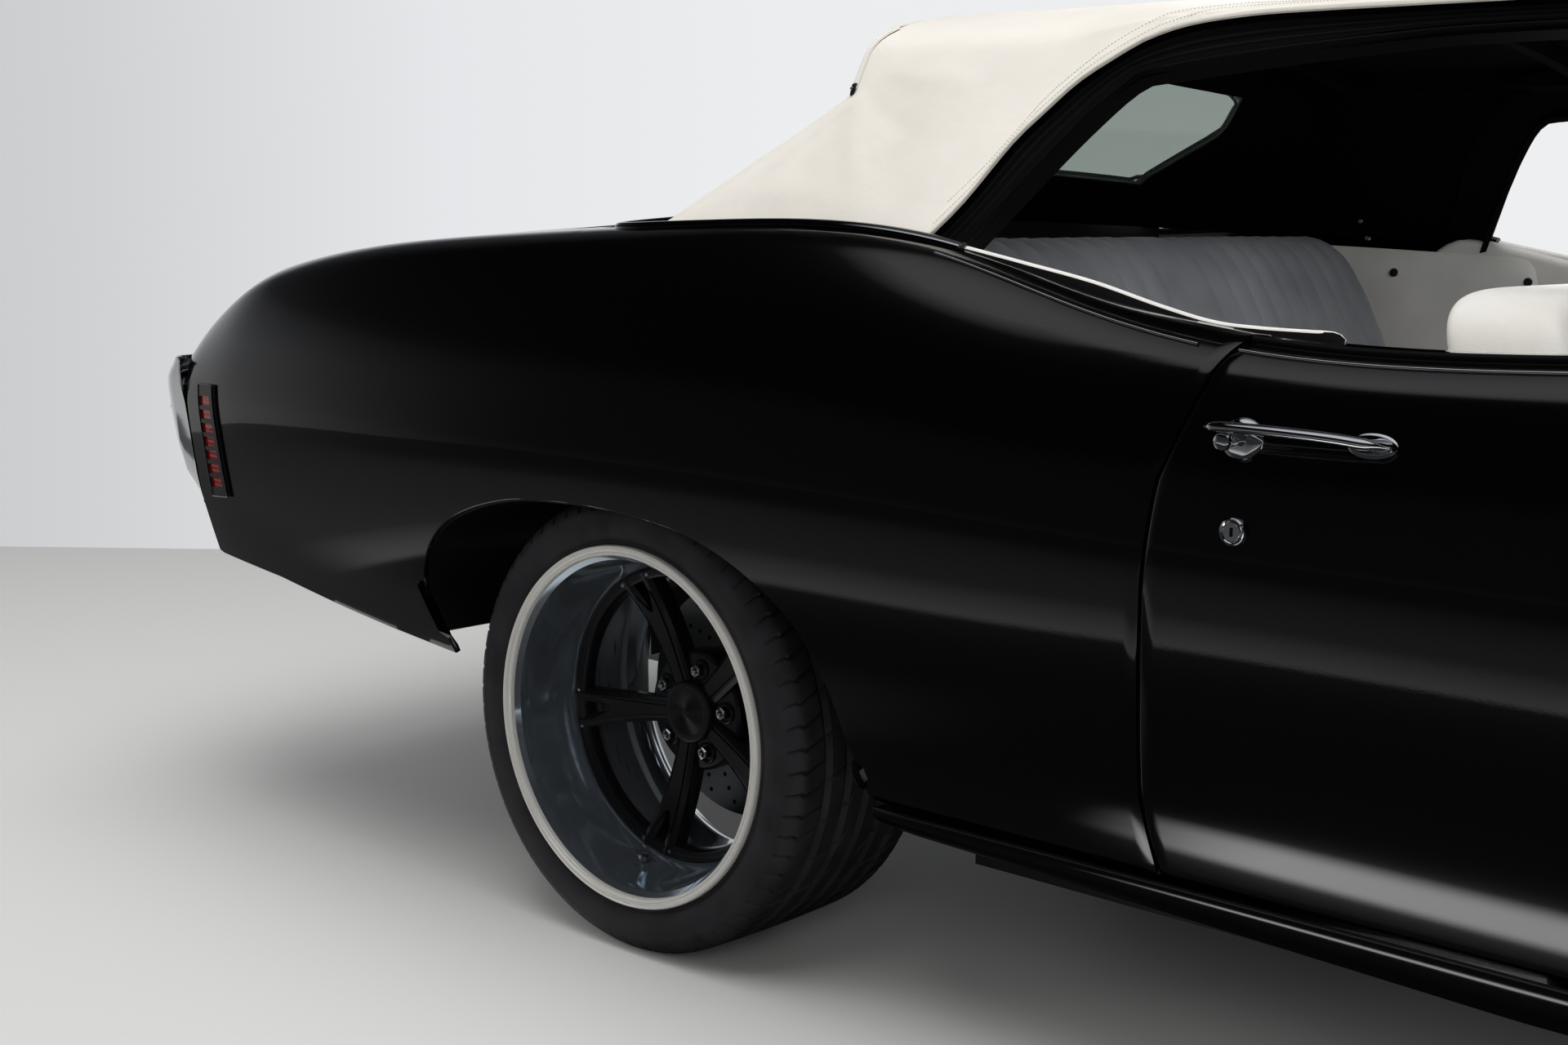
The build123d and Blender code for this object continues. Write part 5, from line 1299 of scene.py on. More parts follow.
# Bumpers, valances and lamps
# Places across a bumper's face as shares of its half width, closer together at the lamps and the plate
BUMPER_HALF = 868.0
FACE_Y = np.concatenate([
    np.linspace(-1, -702 / BUMPER_HALF, 16)[:-1],
    np.concatenate([
        (-702, -698), np.linspace(-690, -480, 22), (-472, -468), np.linspace(-455, -180, 18), (-167, -163),
        np.linspace(-150, 0, 10),
    ]) / BUMPER_HALF,
])
FACE_Y = np.concatenate([FACE_Y, -FACE_Y[-2::-1]])
ROUND_R = 46.0


def bumper_grid(sign, profile, x_ends, corner, mid, half_end, half, side_backs=None):
    """Grid of a wrapped bumper: side, rounded corner, bowed face and the same again. Each row of the
    profile has a setting back and a height, and its own end. The setting back turns into the side's own
    between 500 mm and the corner."""
    bow = (half**2 + (mid - corner) ** 2) / (2 * abs(mid - corner))
    rows = []
    for k, ((back, z), x_end) in enumerate(zip(profile, x_ends)):
        side_back = back if side_backs is None else side_backs[k]
        hw = half - side_back / 6
        y = FACE_Y * (hw - ROUND_R)
        turn = smoothstep(500, half - ROUND_R, np.abs(y))
        x = mid - sign * (bow - np.sqrt(bow**2 - y**2)) - sign * (back * (1 - turn) + side_back * turn)
        knee = np.array([corner - sign * side_back, -hw])
        start = np.array([x_end, -np.interp(abs(x_end), [2300, abs(knee[0]) + 1], [half_end, hw])])
        tip = np.array([x[0], y[0]])
        span = np.linalg.norm(knee - start)
        a = start + (knee - start) * (1 - min(ROUND_R / span, 0.8))
        t = np.linspace(0, 1, 15)[1:-1][:, None]
        left = np.concatenate([np.linspace(start, a, 8),
                               (1 - t) ** 2 * a + 2 * t * (1 - t) * knee + t**2 * tip])
        plan = np.concatenate([left, np.stack([x, y], axis=1), (left * np.array([1, -1]))[::-1]])
        rows.append(np.concatenate([plan, np.full((len(plan), 1), z)], axis=1))
    return np.array(rows)


def cells_inside(grid, y_low, y_high, z_low, z_high):
    """Mask of grid cells whose middles lie in a window on either side of the car."""
    mid = (grid[:-1, :-1] + grid[1:, 1:]) / 2
    y, z = np.abs(mid[..., 1]), mid[..., 2]
    return (y > y_low) & (y < y_high) & (z > z_low) & (z < z_high)


def full_sheet(grid, depth):
    """Closed shell of a whole grid, with no opening."""
    return tidy(shell(grid, depth, np.ones((grid.shape[0] - 1, grid.shape[1] - 1), dtype=bool)))


def bumpers():
    """Rear bumper pierced for its lamps and set in at the plate, front bumper as a plain bowed blade."""
    knots = np.array([(58, 506), (44, 501), (36, 504), (29, 520), (19, 560), (9, 598), (2, 640), (0, 677),
                      (3, 702), (10, 718), (20, 731), (32, 737.5), (44, 738), (60, 736)], dtype=float)
    fine = smooth_line(knots, 42)
    profile = [(b, h) for b, h in fine]
    for level in (586.0, 684.0, 560.0, 700.0):
        k = int(np.argmin([abs(h - level) + (50 if b > 34 else 0) for b, h in profile]))
        profile[k] = (profile[k][0], level)
    heights = np.array([h for _, h in profile])
    ends = -np.interp(heights, [500, 509, 589, 666, 741], [2313, 2317, 2341, 2364, 2401])
    side_z, side_b = np.array([(506, 105), (520, 82), (549, 44), (600, 20), (650, 7), (690, 0), (705, 0),
                               (720, 9), (738, 28)]).T
    side_backs = np.interp(heights, side_z, side_b) + np.maximum(0, fine[:, 0] - 34) * 0.5 * (heights > 700)
    grid = bumper_grid(-1, profile, ends, -2462.0, -2500.0, 893.0, BUMPER_HALF, side_backs)
    plate = (np.abs(grid[..., 1]) < 166) & (grid[..., 2] > 559) & (grid[..., 2] < 701)
    grid[..., 0] = np.where(plate, np.maximum(grid[..., 0], -2492.0), grid[..., 0])
    keep = ~cells_inside(grid, 470, 700, 586, 684)
    rear = tidy(shell(grid[:, ::-1], 3.0, keep[:, ::-1]))
    build("rear_bumper_face", *rear, CHROME, "body", ["rear_bumper"], 30)
    lamp = grid[(heights > 572) & (heights < 697)][:, ::-1].copy()
    lamp[..., 0] += 7.0
    inside = cells_inside(lamp, 466, 704, 580, 690)
    build("tail_lamp_lenses", *tidy(shell(lamp, 4.0, inside)), RED, "body", ["tail_lamps"], 30)
    bars = []
    for y in (546, 624):
        bow = -2500.0 + 38.0 * (y / BUMPER_HALF) ** 2
        line = np.array([(bow + b - 1, -y, h) for b, h in profile if 585 < h < 685])
        bars.append(sweep(line * MM, np.array([(-3, -3), (3, -3), (3, 2), (-3, 2)]) * MM, up=(0, 1, 0)))
    build("tail_lamp_dividers", *pair(join(bars)), CHROME, "body", ["tail_lamps"], 30)
    front = smooth_line([
        (52, 474), (38, 469.5), (27, 471), (14, 482), (4, 500), (0, 525), (4, 550), (14, 569), (27, 579),
        (38, 580.5), (52, 576),
    ], 24)
    front_grid = bumper_grid(1, front, np.full(len(front), 2332.0), 2440.0, 2501.0, 890.0, 862.0)
    build("front_bumper_face", *full_sheet(front_grid, 3.0), CHROME, "body", ["front_bumper"], 30)
    rear_rows = [(40, 420), (30, 417), (24, 421), (10, 460), (0, 497), (8, 500)]
    front_rows = [(44, 383), (34, 380), (28, 384), (12, 425), (0, 462), (8, 465)]
    for name, sign, rows, end, spec in (
        ("rear", -1, rear_rows, -2314.0, (-2340.0, -2420.0, 842.0, 830.0)),
        ("front", 1, front_rows, 2308.0, (2380.0, 2440.0, 846.0, 820.0)),
    ):
        line = smooth_line(rows, 14)
        sheet_grid = bumper_grid(sign, line, np.full(len(line), end), *spec)[:, ::sign]
        build(f"{name}_valance", *full_sheet(sheet_grid, 2.5), SATIN, "body", ["valances"], 30)
    # painted shade: a black disc on the bumper's side stands for the shade inside a small bolt hole
    hole = np.array([-2431.0, -868.0, 655.0]) * MM
    disc = lathe(np.array([(0.0003, 0.002), (0.0003, -0.0008), (0.006, -0.0008), (0.0072, 0.002)]), hole, 20)
    build("bumper_hole_shade", *pair(disc), SEAL_AND_HOLE_SHADE, "body")


bumpers()


# Door handles and locks
def handle_parts():
    """Pull grip tapering to its front foot, round rear base with a push button, the key lock, and a black box
    standing for the shade in its keyhole.
    """
    spine = smooth_line([(-384, -940.6, 790.5), (-350, -946.6, 792), (-300, -947.6, 792),
                         (-245, -943.6, 790), (-212, -936, 786.5), (-192, -924, 783)], 60)
    t = np.linspace(0, 1, len(spine))
    size = np.clip(0.62 + 0.6 * smoothstep(0, 0.1, t) - 0.15 * t, 0, 1.1)
    size = size * (1 - 0.8 * smoothstep(0.86, 1.0, t))
    size[:3] = [0.25, 0.5, 0.72]
    a = np.linspace(0, 2 * np.pi, 18, endpoint=False)
    oval = np.stack([np.cos(a), np.sin(a)], axis=1)
    grip = sweep(spine * MM, oval * (8.2, 5.2) * MM, scale=size)

    def dome(x, z, rings):
        """Turned part that stands on the door's skin, to the whole millimetre, at a station and height."""
        spot = np.array([x, int(on_body(x, z)[1]), z])
        return lathe(np.array(rings) * MM, spot * MM, 40)

    base = dome(-354, 775, [(0.3, 4), (0.3, -7.5), (14, -7.2), (19, -5.6), (23, -2.4), (24.5, 0.5),
                            (24.5, 4)])
    button = dome(-361, 777, [
        (0.3, 2), (0.3, -33.4), (6, -33), (8.6, -31.4), (9.6, -29), (9.6, -24), (7.4, -20), (7.2, 2),
    ])
    foot_line = smooth_line([(-205, -899, 783), (-207, -918, 784), (-214, -938, 787)], 12)
    foot = sweep(foot_line * MM, oval * (13, 7) * MM, scale=np.linspace(1.25, 0.5, len(foot_line)))
    pad_x, pad_z = np.meshgrid(np.linspace(-1, 1, 21), np.linspace(-1, 1, 9), indexing="ij")
    reach = np.sqrt(np.clip(1 - pad_x**2, 0.02, 1))
    pad = on_body(-214 + 26 * pad_x, 783 + 12 * pad_z * reach, 2.5)
    link = smooth_line([(-352, -908, 780), (-352, -930, 786), (-351, -946, 791)], 10)
    stand = sweep(link * MM, oval * (8, 6) * MM)
    lock_x, lock_z = -345, 687
    lock_part = dome(lock_x, lock_z, [
        (0.3, 2), (0.3, -6.2), (9.5, -6.2), (10.2, -5.4), (11.4, -6.6), (13.2, -6.9), (14.4, -5.4),
        (14.8, -2), (14.8, 2),
    ])
    spot = np.array([lock_x, float(on_body(lock_x, lock_z)[1]) - 6.5, lock_z])
    # painted shade: a small black box on the lock's face stands for the shade inside the keyhole
    keyhole_shade_box = spot + [(dx, dy, dz) for dx in (-1.1, 1.1) for dy in (-0.4, 0.6) for dz in (-4.5, 4.5)]
    slot_faces = [(0, 1, 3, 2), (4, 6, 7, 5), (0, 4, 5, 1), (2, 3, 7, 6), (0, 2, 6, 4), (1, 5, 7, 3)]
    fittings = join([grip, base, button, foot, thick(pad, 3.0, 1.0), stand, lock_part])
    return fittings, (keyhole_shade_box * MM, slot_faces)


fittings, keyhole = handle_parts()
for side in ("right", "left"):
    build(f"door_handle_{side}", *on_side(fittings, side), CHROME, f"door_{side}", [f"door_fittings_{side}"],
          34)
    # painted shade inside the keyhole's slot, in black
    build(f"keyhole_{side}", *on_side(keyhole, side), SEAL_AND_HOLE_SHADE, f"door_{side}")


# Upholstery
BENCH_BACK = [(-870, 596), (-902, 690), (-935, 775), (-968, 846), (-1000, 899), (-1022, 925), (-1048, 939),
              (-1076, 942), (-1102, 933), (-1118, 915), (-1122, 890), (-1098, 830)]
BENCH_SEAT = [(-836, 545), (-820, 580), (-790, 596), (-720, 597), (-620, 596), (-552, 593), (-522, 580),
              (-508, 556), (-504, 500), (-504, 446)]
BENCH_HALF = 578.0
# The seams of the bench: the first one's place, their spacing and number, and the depth of their valleys
BAND_HALF, PLEAT, SEAMS, VALLEY = 66.0, 54.0, 9, 9.0


def pleats(y):
    """Groove depth across a pleated cushion, 0 to 1: a sharp valley at each seam between round ribs."""
    u = (np.abs(y) - BAND_HALF) / PLEAT
    rib = np.abs(np.sin(np.pi * np.clip(u, 0, SEAMS)))
    band = 0.55 * np.exp(-((u * 3.2) ** 2))
    return np.where((u > 0) & (u < SEAMS), 1 - rib**0.55, np.where(u >= SEAMS, 0.0, band))


def upward_line(path, count):
    """Smooth side line of a cushion, and the directions square to it, on the side that faces up."""
    line = smooth_line(path, count)
    t = np.gradient(line, axis=0)
    t /= np.linalg.norm(t, axis=1)[:, None]
    out = np.stack([-t[:, 1], t[:, 0]], axis=1)
    return line, -out if out[count // 2, 1] < 0 else out


def cushion(path, half=BENCH_HALF, count=34, end_r=46.0):
    """Pleated cushion: the side path carried across the car, pushed in at the seams, ends rolled over."""
    line, out = upward_line(path, count)
    steps = np.concatenate([[0.0, 0.1, 0.25, 0.45, 0.7], np.linspace(1, 100, 140)])
    y = np.interp(steps, [0, 1, 100], [-half, -half + 2.5, 0])
    y = np.concatenate([y, -y[-2::-1]])
    s = np.linspace(0, 1, count)[:, None]
    fade = smoothstep(0.0, 0.08, s) * (1 - smoothstep(0.8, 0.98, s))
    from_end = np.clip((np.abs(y) - (half - end_r)) / end_r, 0, 1)[None]
    drop = VALLEY * pleats(y)[None] * fade + end_r * 0.9 * (1 - np.sqrt(1 - from_end**2 + 1e-9))
    sag = 3.0 * np.sin(y / 61.0)[None] * np.sin(s * 5) * (1 - from_end)
    xz = line[:, None] - out[:, None] * (drop - 0.25 * sag)[..., None]
    return np.stack([xz[..., 0], np.broadcast_to(y, xz.shape[:2]), xz[..., 1]], axis=-1)


def seam_stitches(path, places, count=60):
    """A row of stitches along the cushion at each place across it, sunk as deep as the pleats are there."""
    line, out = upward_line(path, count)
    rows = []
    keep = slice(int(0.06 * count), int(0.9 * count))
    for y in places:
        xz = line + out * (0.4 - VALLEY * pleats(y))
        row = np.stack([xz[:, 0], np.full(count, y), xz[:, 1]], axis=1)[keep]
        rows.append(stitches(row, np.array([0.75, 0, 0.65]), 5.0, 8.4, 0.7))
    return join(rows)


def bench():
    """Rear bench: padded back and seat with stitches on both sides of each seam, over a plain base."""
    beside = [BAND_HALF + PLEAT * k + d for k in range(SEAMS) for d in (-5.5, 5.5)]
    places = [sign * y for y in beside for sign in (-1, 1) if y > 62]
    for name, path in (("back", BENCH_BACK), ("seat", BENCH_SEAT)):
        part = thick(cushion(path), 22.0, 0.0)
        recalc(build(f"bench_{name}", *part, GREY, "body", ["rear_bench"], 60))
        build(f"bench_{name}_stitching", *seam_stitches(path, places), GREY_THREAD, "body", ["rear_bench"])
    profile = np.array([
        (-866, 446), (-866, 552), (-1000, 556), (-1094, 840), (-1040, 860), (-880, 600), (-830, 548),
        (-520, 548), (-512, 446),
    ])
    count = len(profile)
    ends = [np.stack([profile[:, 0], np.full(count, y), profile[:, 1]], axis=1) for y in (-560.0, 560.0)]
    faces = [tuple(range(count)), tuple(range(count, 2 * count))[::-1]]
    faces += [(k, k + count, (k + 1) % count + count, (k + 1) % count) for k in range(count)]
    recalc(build("bench_base", np.concatenate(ends) * MM, faces, GRAINED, "body", ["rear_bench"], 30))


bench()


def seat_pad(centre, size, power, tilt, front, middle=150.0, pitch=50.0):
    """Soft block: a superellipsoid, sheared by its tilt, with a sunken pleated middle on its front face,
    the one towards +x (front 0) or +z (front 2)."""
    u = np.linspace(0, 2 * np.pi, 100, endpoint=False)
    v = np.linspace(-np.pi / 2, np.pi / 2, 70)
    uu, vv = np.meshgrid(u, v, indexing="ij")
    cu, su = squircle(uu, power[0])
    cv, sv = squircle(vv, power[1])
    p = np.stack([size[0] * cu * cv, size[1] * su * cv, size[2] * sv], axis=-1)
    long = 2 - front
    along = p[..., long] / size[long]
    well = 1 - smoothstep(0.9, 1.06, np.abs(p[..., 1]) / middle)
    well = well * (1 - smoothstep(0.62, 0.72, along)) * (1 - smoothstep(0.8, 0.9, -along))
    rib = np.abs(np.sin(np.pi * p[..., 1] / pitch)) ** 0.6
    p[..., front] -= (14 * well + 8 * well * (1 - rib)) * smoothstep(0.1, 0.8, p[..., front] / size[front])
    p[..., 0] += tilt * (p[..., 2] + size[2])
    return p + np.array(centre)


SEAT_Y = 430.0


def front_seats():
    """Bucket seats: back and cushion with pleated middles, piped edges, and double-stitched side seams."""
    seams, pipes, risers = [], [], []
    for side, seat_y in (("right", -SEAT_Y), ("left", SEAT_Y)):
        back = seat_pad((-82, seat_y, 745), (76, 250, 182), (0.22, 0.36), -0.36, 0)
        base = seat_pad((95, seat_y, 490), (222, 246, 76), (0.34, 0.5), 0.0, 2)
        for name, pad in (("back", back), ("cushion", base)):
            faces = grid_faces(*pad.shape[:2], wrap_rows=True)
            made = build(f"seat_{name}_{side}", pad * MM, faces, IVORY, "body", ["front_seats"], 60)
            recalc(made)
        middle = back[:, back.shape[1] // 2]
        front_cols = [k for k in range(len(back)) if middle[k, 0] > np.median(middle[:, 0])]

        def front_line(place, rows):
            """Line up the back's front face, in the column that lies nearest to a place across the car."""
            k = min(front_cols, key=lambda i: abs(middle[i, 1] - place))
            return resample(back[k, rows], 60)

        for offset in (-104, 104, -117, 117):
            seams.append(stitches(front_line(seat_y + offset, slice(8, 66)), np.array([0.85, 0, 0.3]), 4.2,
                                  6.2, 0.9))
        for offset in (-224, 224, -111, 111):
            line = front_line(seat_y + offset, slice(6, 64))
            pipes.append(sweep(line * MM, ring_profile(1.6 * MM, 6), up=(0, 1, 0)))
        x, z = np.meshgrid(np.linspace(-100, 320, 12), np.linspace(330, 420, 5), indexing="ij")
        for y in (seat_y - 236, seat_y + 236):
            risers.append(thick(np.stack([x, np.full(x.shape, y), z], axis=-1), 8.0, 0.5, flip=y > seat_y))
        y, z = np.meshgrid(np.linspace(-230, 230, 10), np.linspace(306, 420, 5), indexing="ij")
        for x in (-90.0, 290.0):
            risers.append(thick(np.stack([np.full(y.shape, x), y + seat_y, z], axis=-1), 10.0, 0.5))
    build("seat_stitching", *join(seams), THREAD, "body", ["front_seats"])
    build("seat_piping", *join(pipes), IVORY, "body", ["front_seats"], 60)
    build("seat_risers", *join(risers), GRAINED, "body", ["front_seats"])


front_seats()


def rolled_trim(line, y_face, z_foot):
    """Inner panel rolled over towards the body at its top: an arc of 26 mm, then flat down to its foot."""
    wide = 26.0
    turns = np.linspace(np.pi * 0.95, 0, 10)
    column = [(-wide * (1 - math.cos(t)) / 2, wide * math.sin(t) * 0.5 - 8) for t in turns]
    rows = []
    for x, z in line:
        arc = [(x, y_face + dy, z + dz) for dy, dz in column]
        rows.append(np.array(arc + [(x, y_face, down) for down in np.linspace(z - 10, z_foot, 14)]))
    return thick(np.array(rows)[:, ::-1], 6.0, 0.5, flip=True)


def inner_trims():
    """Covered side panels beside the bench, rolled over at the top and front, with buttons and hooks."""
    top = smooth_line([
        (-1130, 947), (-1008, 943), (-885, 938), (-790, 934), (-752, 932), (-733, 922), (-724, 900),
        (-720, 860), (-720, 560),
    ], 46)
    down = np.linspace(0, 1, 24)[None]
    z = top[:, 1:] + (470 - top[:, 1:]) * down
    y = np.broadcast_to(-706 + 5 * smoothstep(0, 0.1, down) - 3 * np.sin(down * 3.1), z.shape)
    grid = np.stack([np.broadcast_to(top[:, :1], z.shape), y, z], axis=-1)
    grid[:, 0, 1] = -712
    grid[:, 1, 1] = np.minimum(grid[:, 1, 1], -704)
    part = thick(grid[:, ::-1], 14.0, 1.0, flip=True)
    build("side_trim_skins", *pair(part), PALE, "body", ["side_trims"], 60)
    roll = smooth_line([
        (-930, 930), (-905, 948), (-862, 958), (-777, 944), (-696, 926), (-600, 903), (-500, 881),
        (-444, 870),
    ], 36)
    y_face = -742.0
    build("quarter_trim_rolls", *pair(rolled_trim(roll, y_face, 480.0)), PALE, "body", (), 60)
    door_x = np.linspace(-392, 706, 40)
    door_trim = rolled_trim(np.stack([door_x, np.full(len(door_x), 862.0)], axis=1), y_face, 380.0)
    for side in ("right", "left"):
        build(f"door_trim_{side}", *on_side(door_trim, side), PALE, f"door_{side}", (), 60)
    hook = np.array([(5.4, -3), (5.4, 2), (4.6, 5.4), (2.6, 7.2), (0.3, 7.5), (0.3, 3)]) * MM
    hooks = [lathe(hook, np.array([x, -694.0, z]) * MM, 18) for x, z in ((-1027, 962), (-1043, 992))]
    build("trim_hooks", *pair(join(hooks)), CHROME, "body", (), 40)
    button = np.array([(0.3, -3), (0.3, 3), (3, 3.2), (6, 2.4), (7.5, 0), (7.5, -3)]) * MM
    buttons = [lathe(button, np.array([x, -697.0, z]) * MM, 20) for x,
               z in ((-978, 901), (-734, 892), (-850, 700))]
    build("trim_buttons", *pair(join(buttons)), GRAINED, "body", ["side_trims"], 30)


inner_trims()


# Nose, mirror, dashboard and steering wheel: sides that the photograph doesn't show, finished from the type
def nose():
    """Round lamps with bright rings and domed lenses over bowls, and the pan between grille and bumper."""
    ahead = (1.0, 0.0, 0.0)
    r = np.linspace(0.3, 66, 16)
    dome = [(q, 12 + 6 * (1 - (q / 66) ** 2)) for q in r] + [(66, 6), (0.3, 6)]
    bowl = [(64, 4), (48, 1.6), (24, 0.4), (0.3, 0), (0.3, -3), (64, -3)]
    ring = [(66, -2), (66, 12), (68, 16.5), (71, 17), (73.5, 12), (73.5, -2)]
    for name, profile, finish in (("lenses", dome, CLEAR), ("bowls", bowl, CHROME), ("rings", ring, CHROME)):
        lamps = join([revolve(profile, (2381.0, y, 690.0), ahead, 36) for y in (-648, -496, 496, 648)])
        recalc(build(f"headlamp_{name}", *lamps, finish, "body", ["headlamps"], 30))
    t, y = np.meshgrid(np.linspace(0, 1, 8), np.linspace(-836, 836, 40), indexing="ij")
    x = 2364 + (2450 - 60 * (y / 862) ** 2 - 2364) * t
    pan = np.stack([x, y, 602 - 30 * t + 10 * np.sin(np.pi * t)], axis=-1)
    build("nose_pan", *thick(pan, 3.0, 0.5, flip=True), PAINT, "body", (), 50)


def door_mirror():
    """Bright oblong mirror head on a short stalk, on the left door."""
    parts = [pillow((541.0, 911.0, 973.0), (18.0, 44.0, 32.0)),
             pillow((546.0, 872.0, 872.0), (26.0, 15.0, 9.0), 0.7)]
    stalk = smooth_line([(546, 872, 872), (544, 880, 912), (541, 893, 958)], 16)
    parts.append(sweep(stalk * MM, ring_profile(6.5 * MM, 12), up=(1, 0, 0)))
    recalc(build("mirror_head", *join(parts), CHROME, "door_left", ["door_fittings_left"], 40))
    recalc(build("mirror_seal", *pillow((524.0, 911.0, 973.0), (4.0, 40.0, 28.0), 0.3), SEAL_AND_HOLE_SHADE, "door_left"))
    recalc(build("mirror_glass", *pillow((522.6, 911.0, 973.0), (4.0, 37.0, 25.0), 0.3), CHROME, "door_left"))


def dashboard():
    """Padded dashboard carried across the cabin, with round dials before the driver and two at the middle."""
    section = np.array([
        (714, 700), (714, 870), (704, 877), (560, 878), (524, 872), (496, 852), (478, 830), (472, 812),
        (478, 790), (500, 716), (518, 656), (530, 644), (560, 640), (600, 640),
    ], dtype=float)
    across = np.array([(0, -755, 0), (0, 755, 0)], dtype=float)
    recalc(build("dashboard_pad", *sweep(across * MM, section * MM), GRAINED, "body", ["dashboard"], 30))
    back = np.array([-0.958, 0.0, -0.287])
    dials = [(445, 50), (320, 50), (200, 34), (60, 34), (-40, 34)]
    rings, faces = [], []
    for y, r in dials:
        centre = (497.0, y, 740.0)
        rings.append(revolve([(r - 6, -3), (r - 6, 3), (r - 3, 7), (r, 4), (r, -3)], centre, back))
        faces.append(revolve([(0.3, -4), (r - 6, -4), (r - 6, 1.5), (0.3, 1.5)], centre, back))
    recalc(build("dial_rings", *join(rings), CHROME, "body", ["dashboard"], 30))
    recalc(build("dial_faces", *join(faces), SATIN, "body", ["dashboard"], 30))


def steering_wheel():
    """Thick round rim, three flat spokes and a domed pad, square to the raked column."""
    rake = math.radians(24)
    way = np.array([-math.cos(rake), 0.0, math.sin(rake)])
    hub = np.array([440.0, 370.0, 800.0]) + way * 150
    across = np.array([0.0, 1.0, 0.0])
    up = np.cross(way, across)
    a = np.linspace(0, 2 * np.pi, 96, endpoint=False)[:, None]
    middle = hub + way * 19
    circle = middle + 172.5 * (np.cos(a) * across + np.sin(a) * up)
    rim = sweep(circle * MM, ring_profile(12.5 * MM, 16), closed=True, up=way)
    recalc(build("steering_rim", *rim, GRAINED, "steering_wheel", ["steering_wheel"], 60))
    flat = np.array([(-13, -2), (-10, -3.5), (10, -3.5), (13, -2), (13, 2), (10, 3.5), (-10, 3.5), (-13, 2)])
    spokes = []
    for turn in np.radians([0, 120, 240]):
        out = math.cos(turn) * across + math.sin(turn) * up
        line = middle + out * np.linspace(24, 166, 10)[:, None]
        spokes.append(sweep(line * MM, flat * MM, up=way, scale=np.linspace(1.25, 0.85, 10)))
    recalc(build("steering_spokes", *join(spokes), IRON, "steering_wheel", ["steering_wheel"], 30))
    pad = [(0.3, 34), (14, 33.4), (26, 31), (35, 26), (39, 20), (40, 10), (40, 2), (0.3, 2)]
    recalc(build("steering_pad", *revolve(pad, hub, way), GRAINED, "steering_wheel", ["steering_wheel"], 40))


nose()
door_mirror()
dashboard()
steering_wheel()

# CAD pieces that show as they are take these materials
KEPT = {
    PAINT: ("header_panel", "windshield_frame"),
    GLASS: ("windshield",),
    DARK_TRIM: ("grille", "radiator"),
    LINING: ("top_frame",),
    CAST: ("engine_block", "knuckle_right", "knuckle_left"),
    STEEL: ("exhaust", "fuel_tank"),
    GRAINED: ("steering_column",),
    CHASSIS: (
        "frame", "floor_pan", "bulkhead", "inner_fenders", "rear_wheelhouses", "tail_panel", "rear_axle",
        "suspension_arms",
    ),
}
for finish, names in KEPT.items():
    for name in names:
        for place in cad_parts[name].material_slots:
            place.material = finish


# Stage, light and camera. Level directions to the camera's right and straight ahead of it
RIGHT_OF_CAMERA = (0.7415, 0.6709, 0.0)
AHEAD_OF_CAMERA = (-0.6709, 0.7415, 0.0)


def near_value(tree, value, start, full):
    """Soft step from 0 at start to 1 at full."""
    return between(tree, value, start, full, "SMOOTHSTEP")


def maths(tree, operation, a, b):
    """One operation on two values."""
    return add_node(tree, "ShaderNodeMath", {"operation": operation}, {0: a, 1: b}).outputs[0]


def mixed(tree, fac, a, b):
    """Colour a where the share is 0, b where it is 1."""
    return add_node(tree, "ShaderNodeMix", {"data_type": "RGBA"}, {0: fac, 6: a, 7: b}).outputs[2]


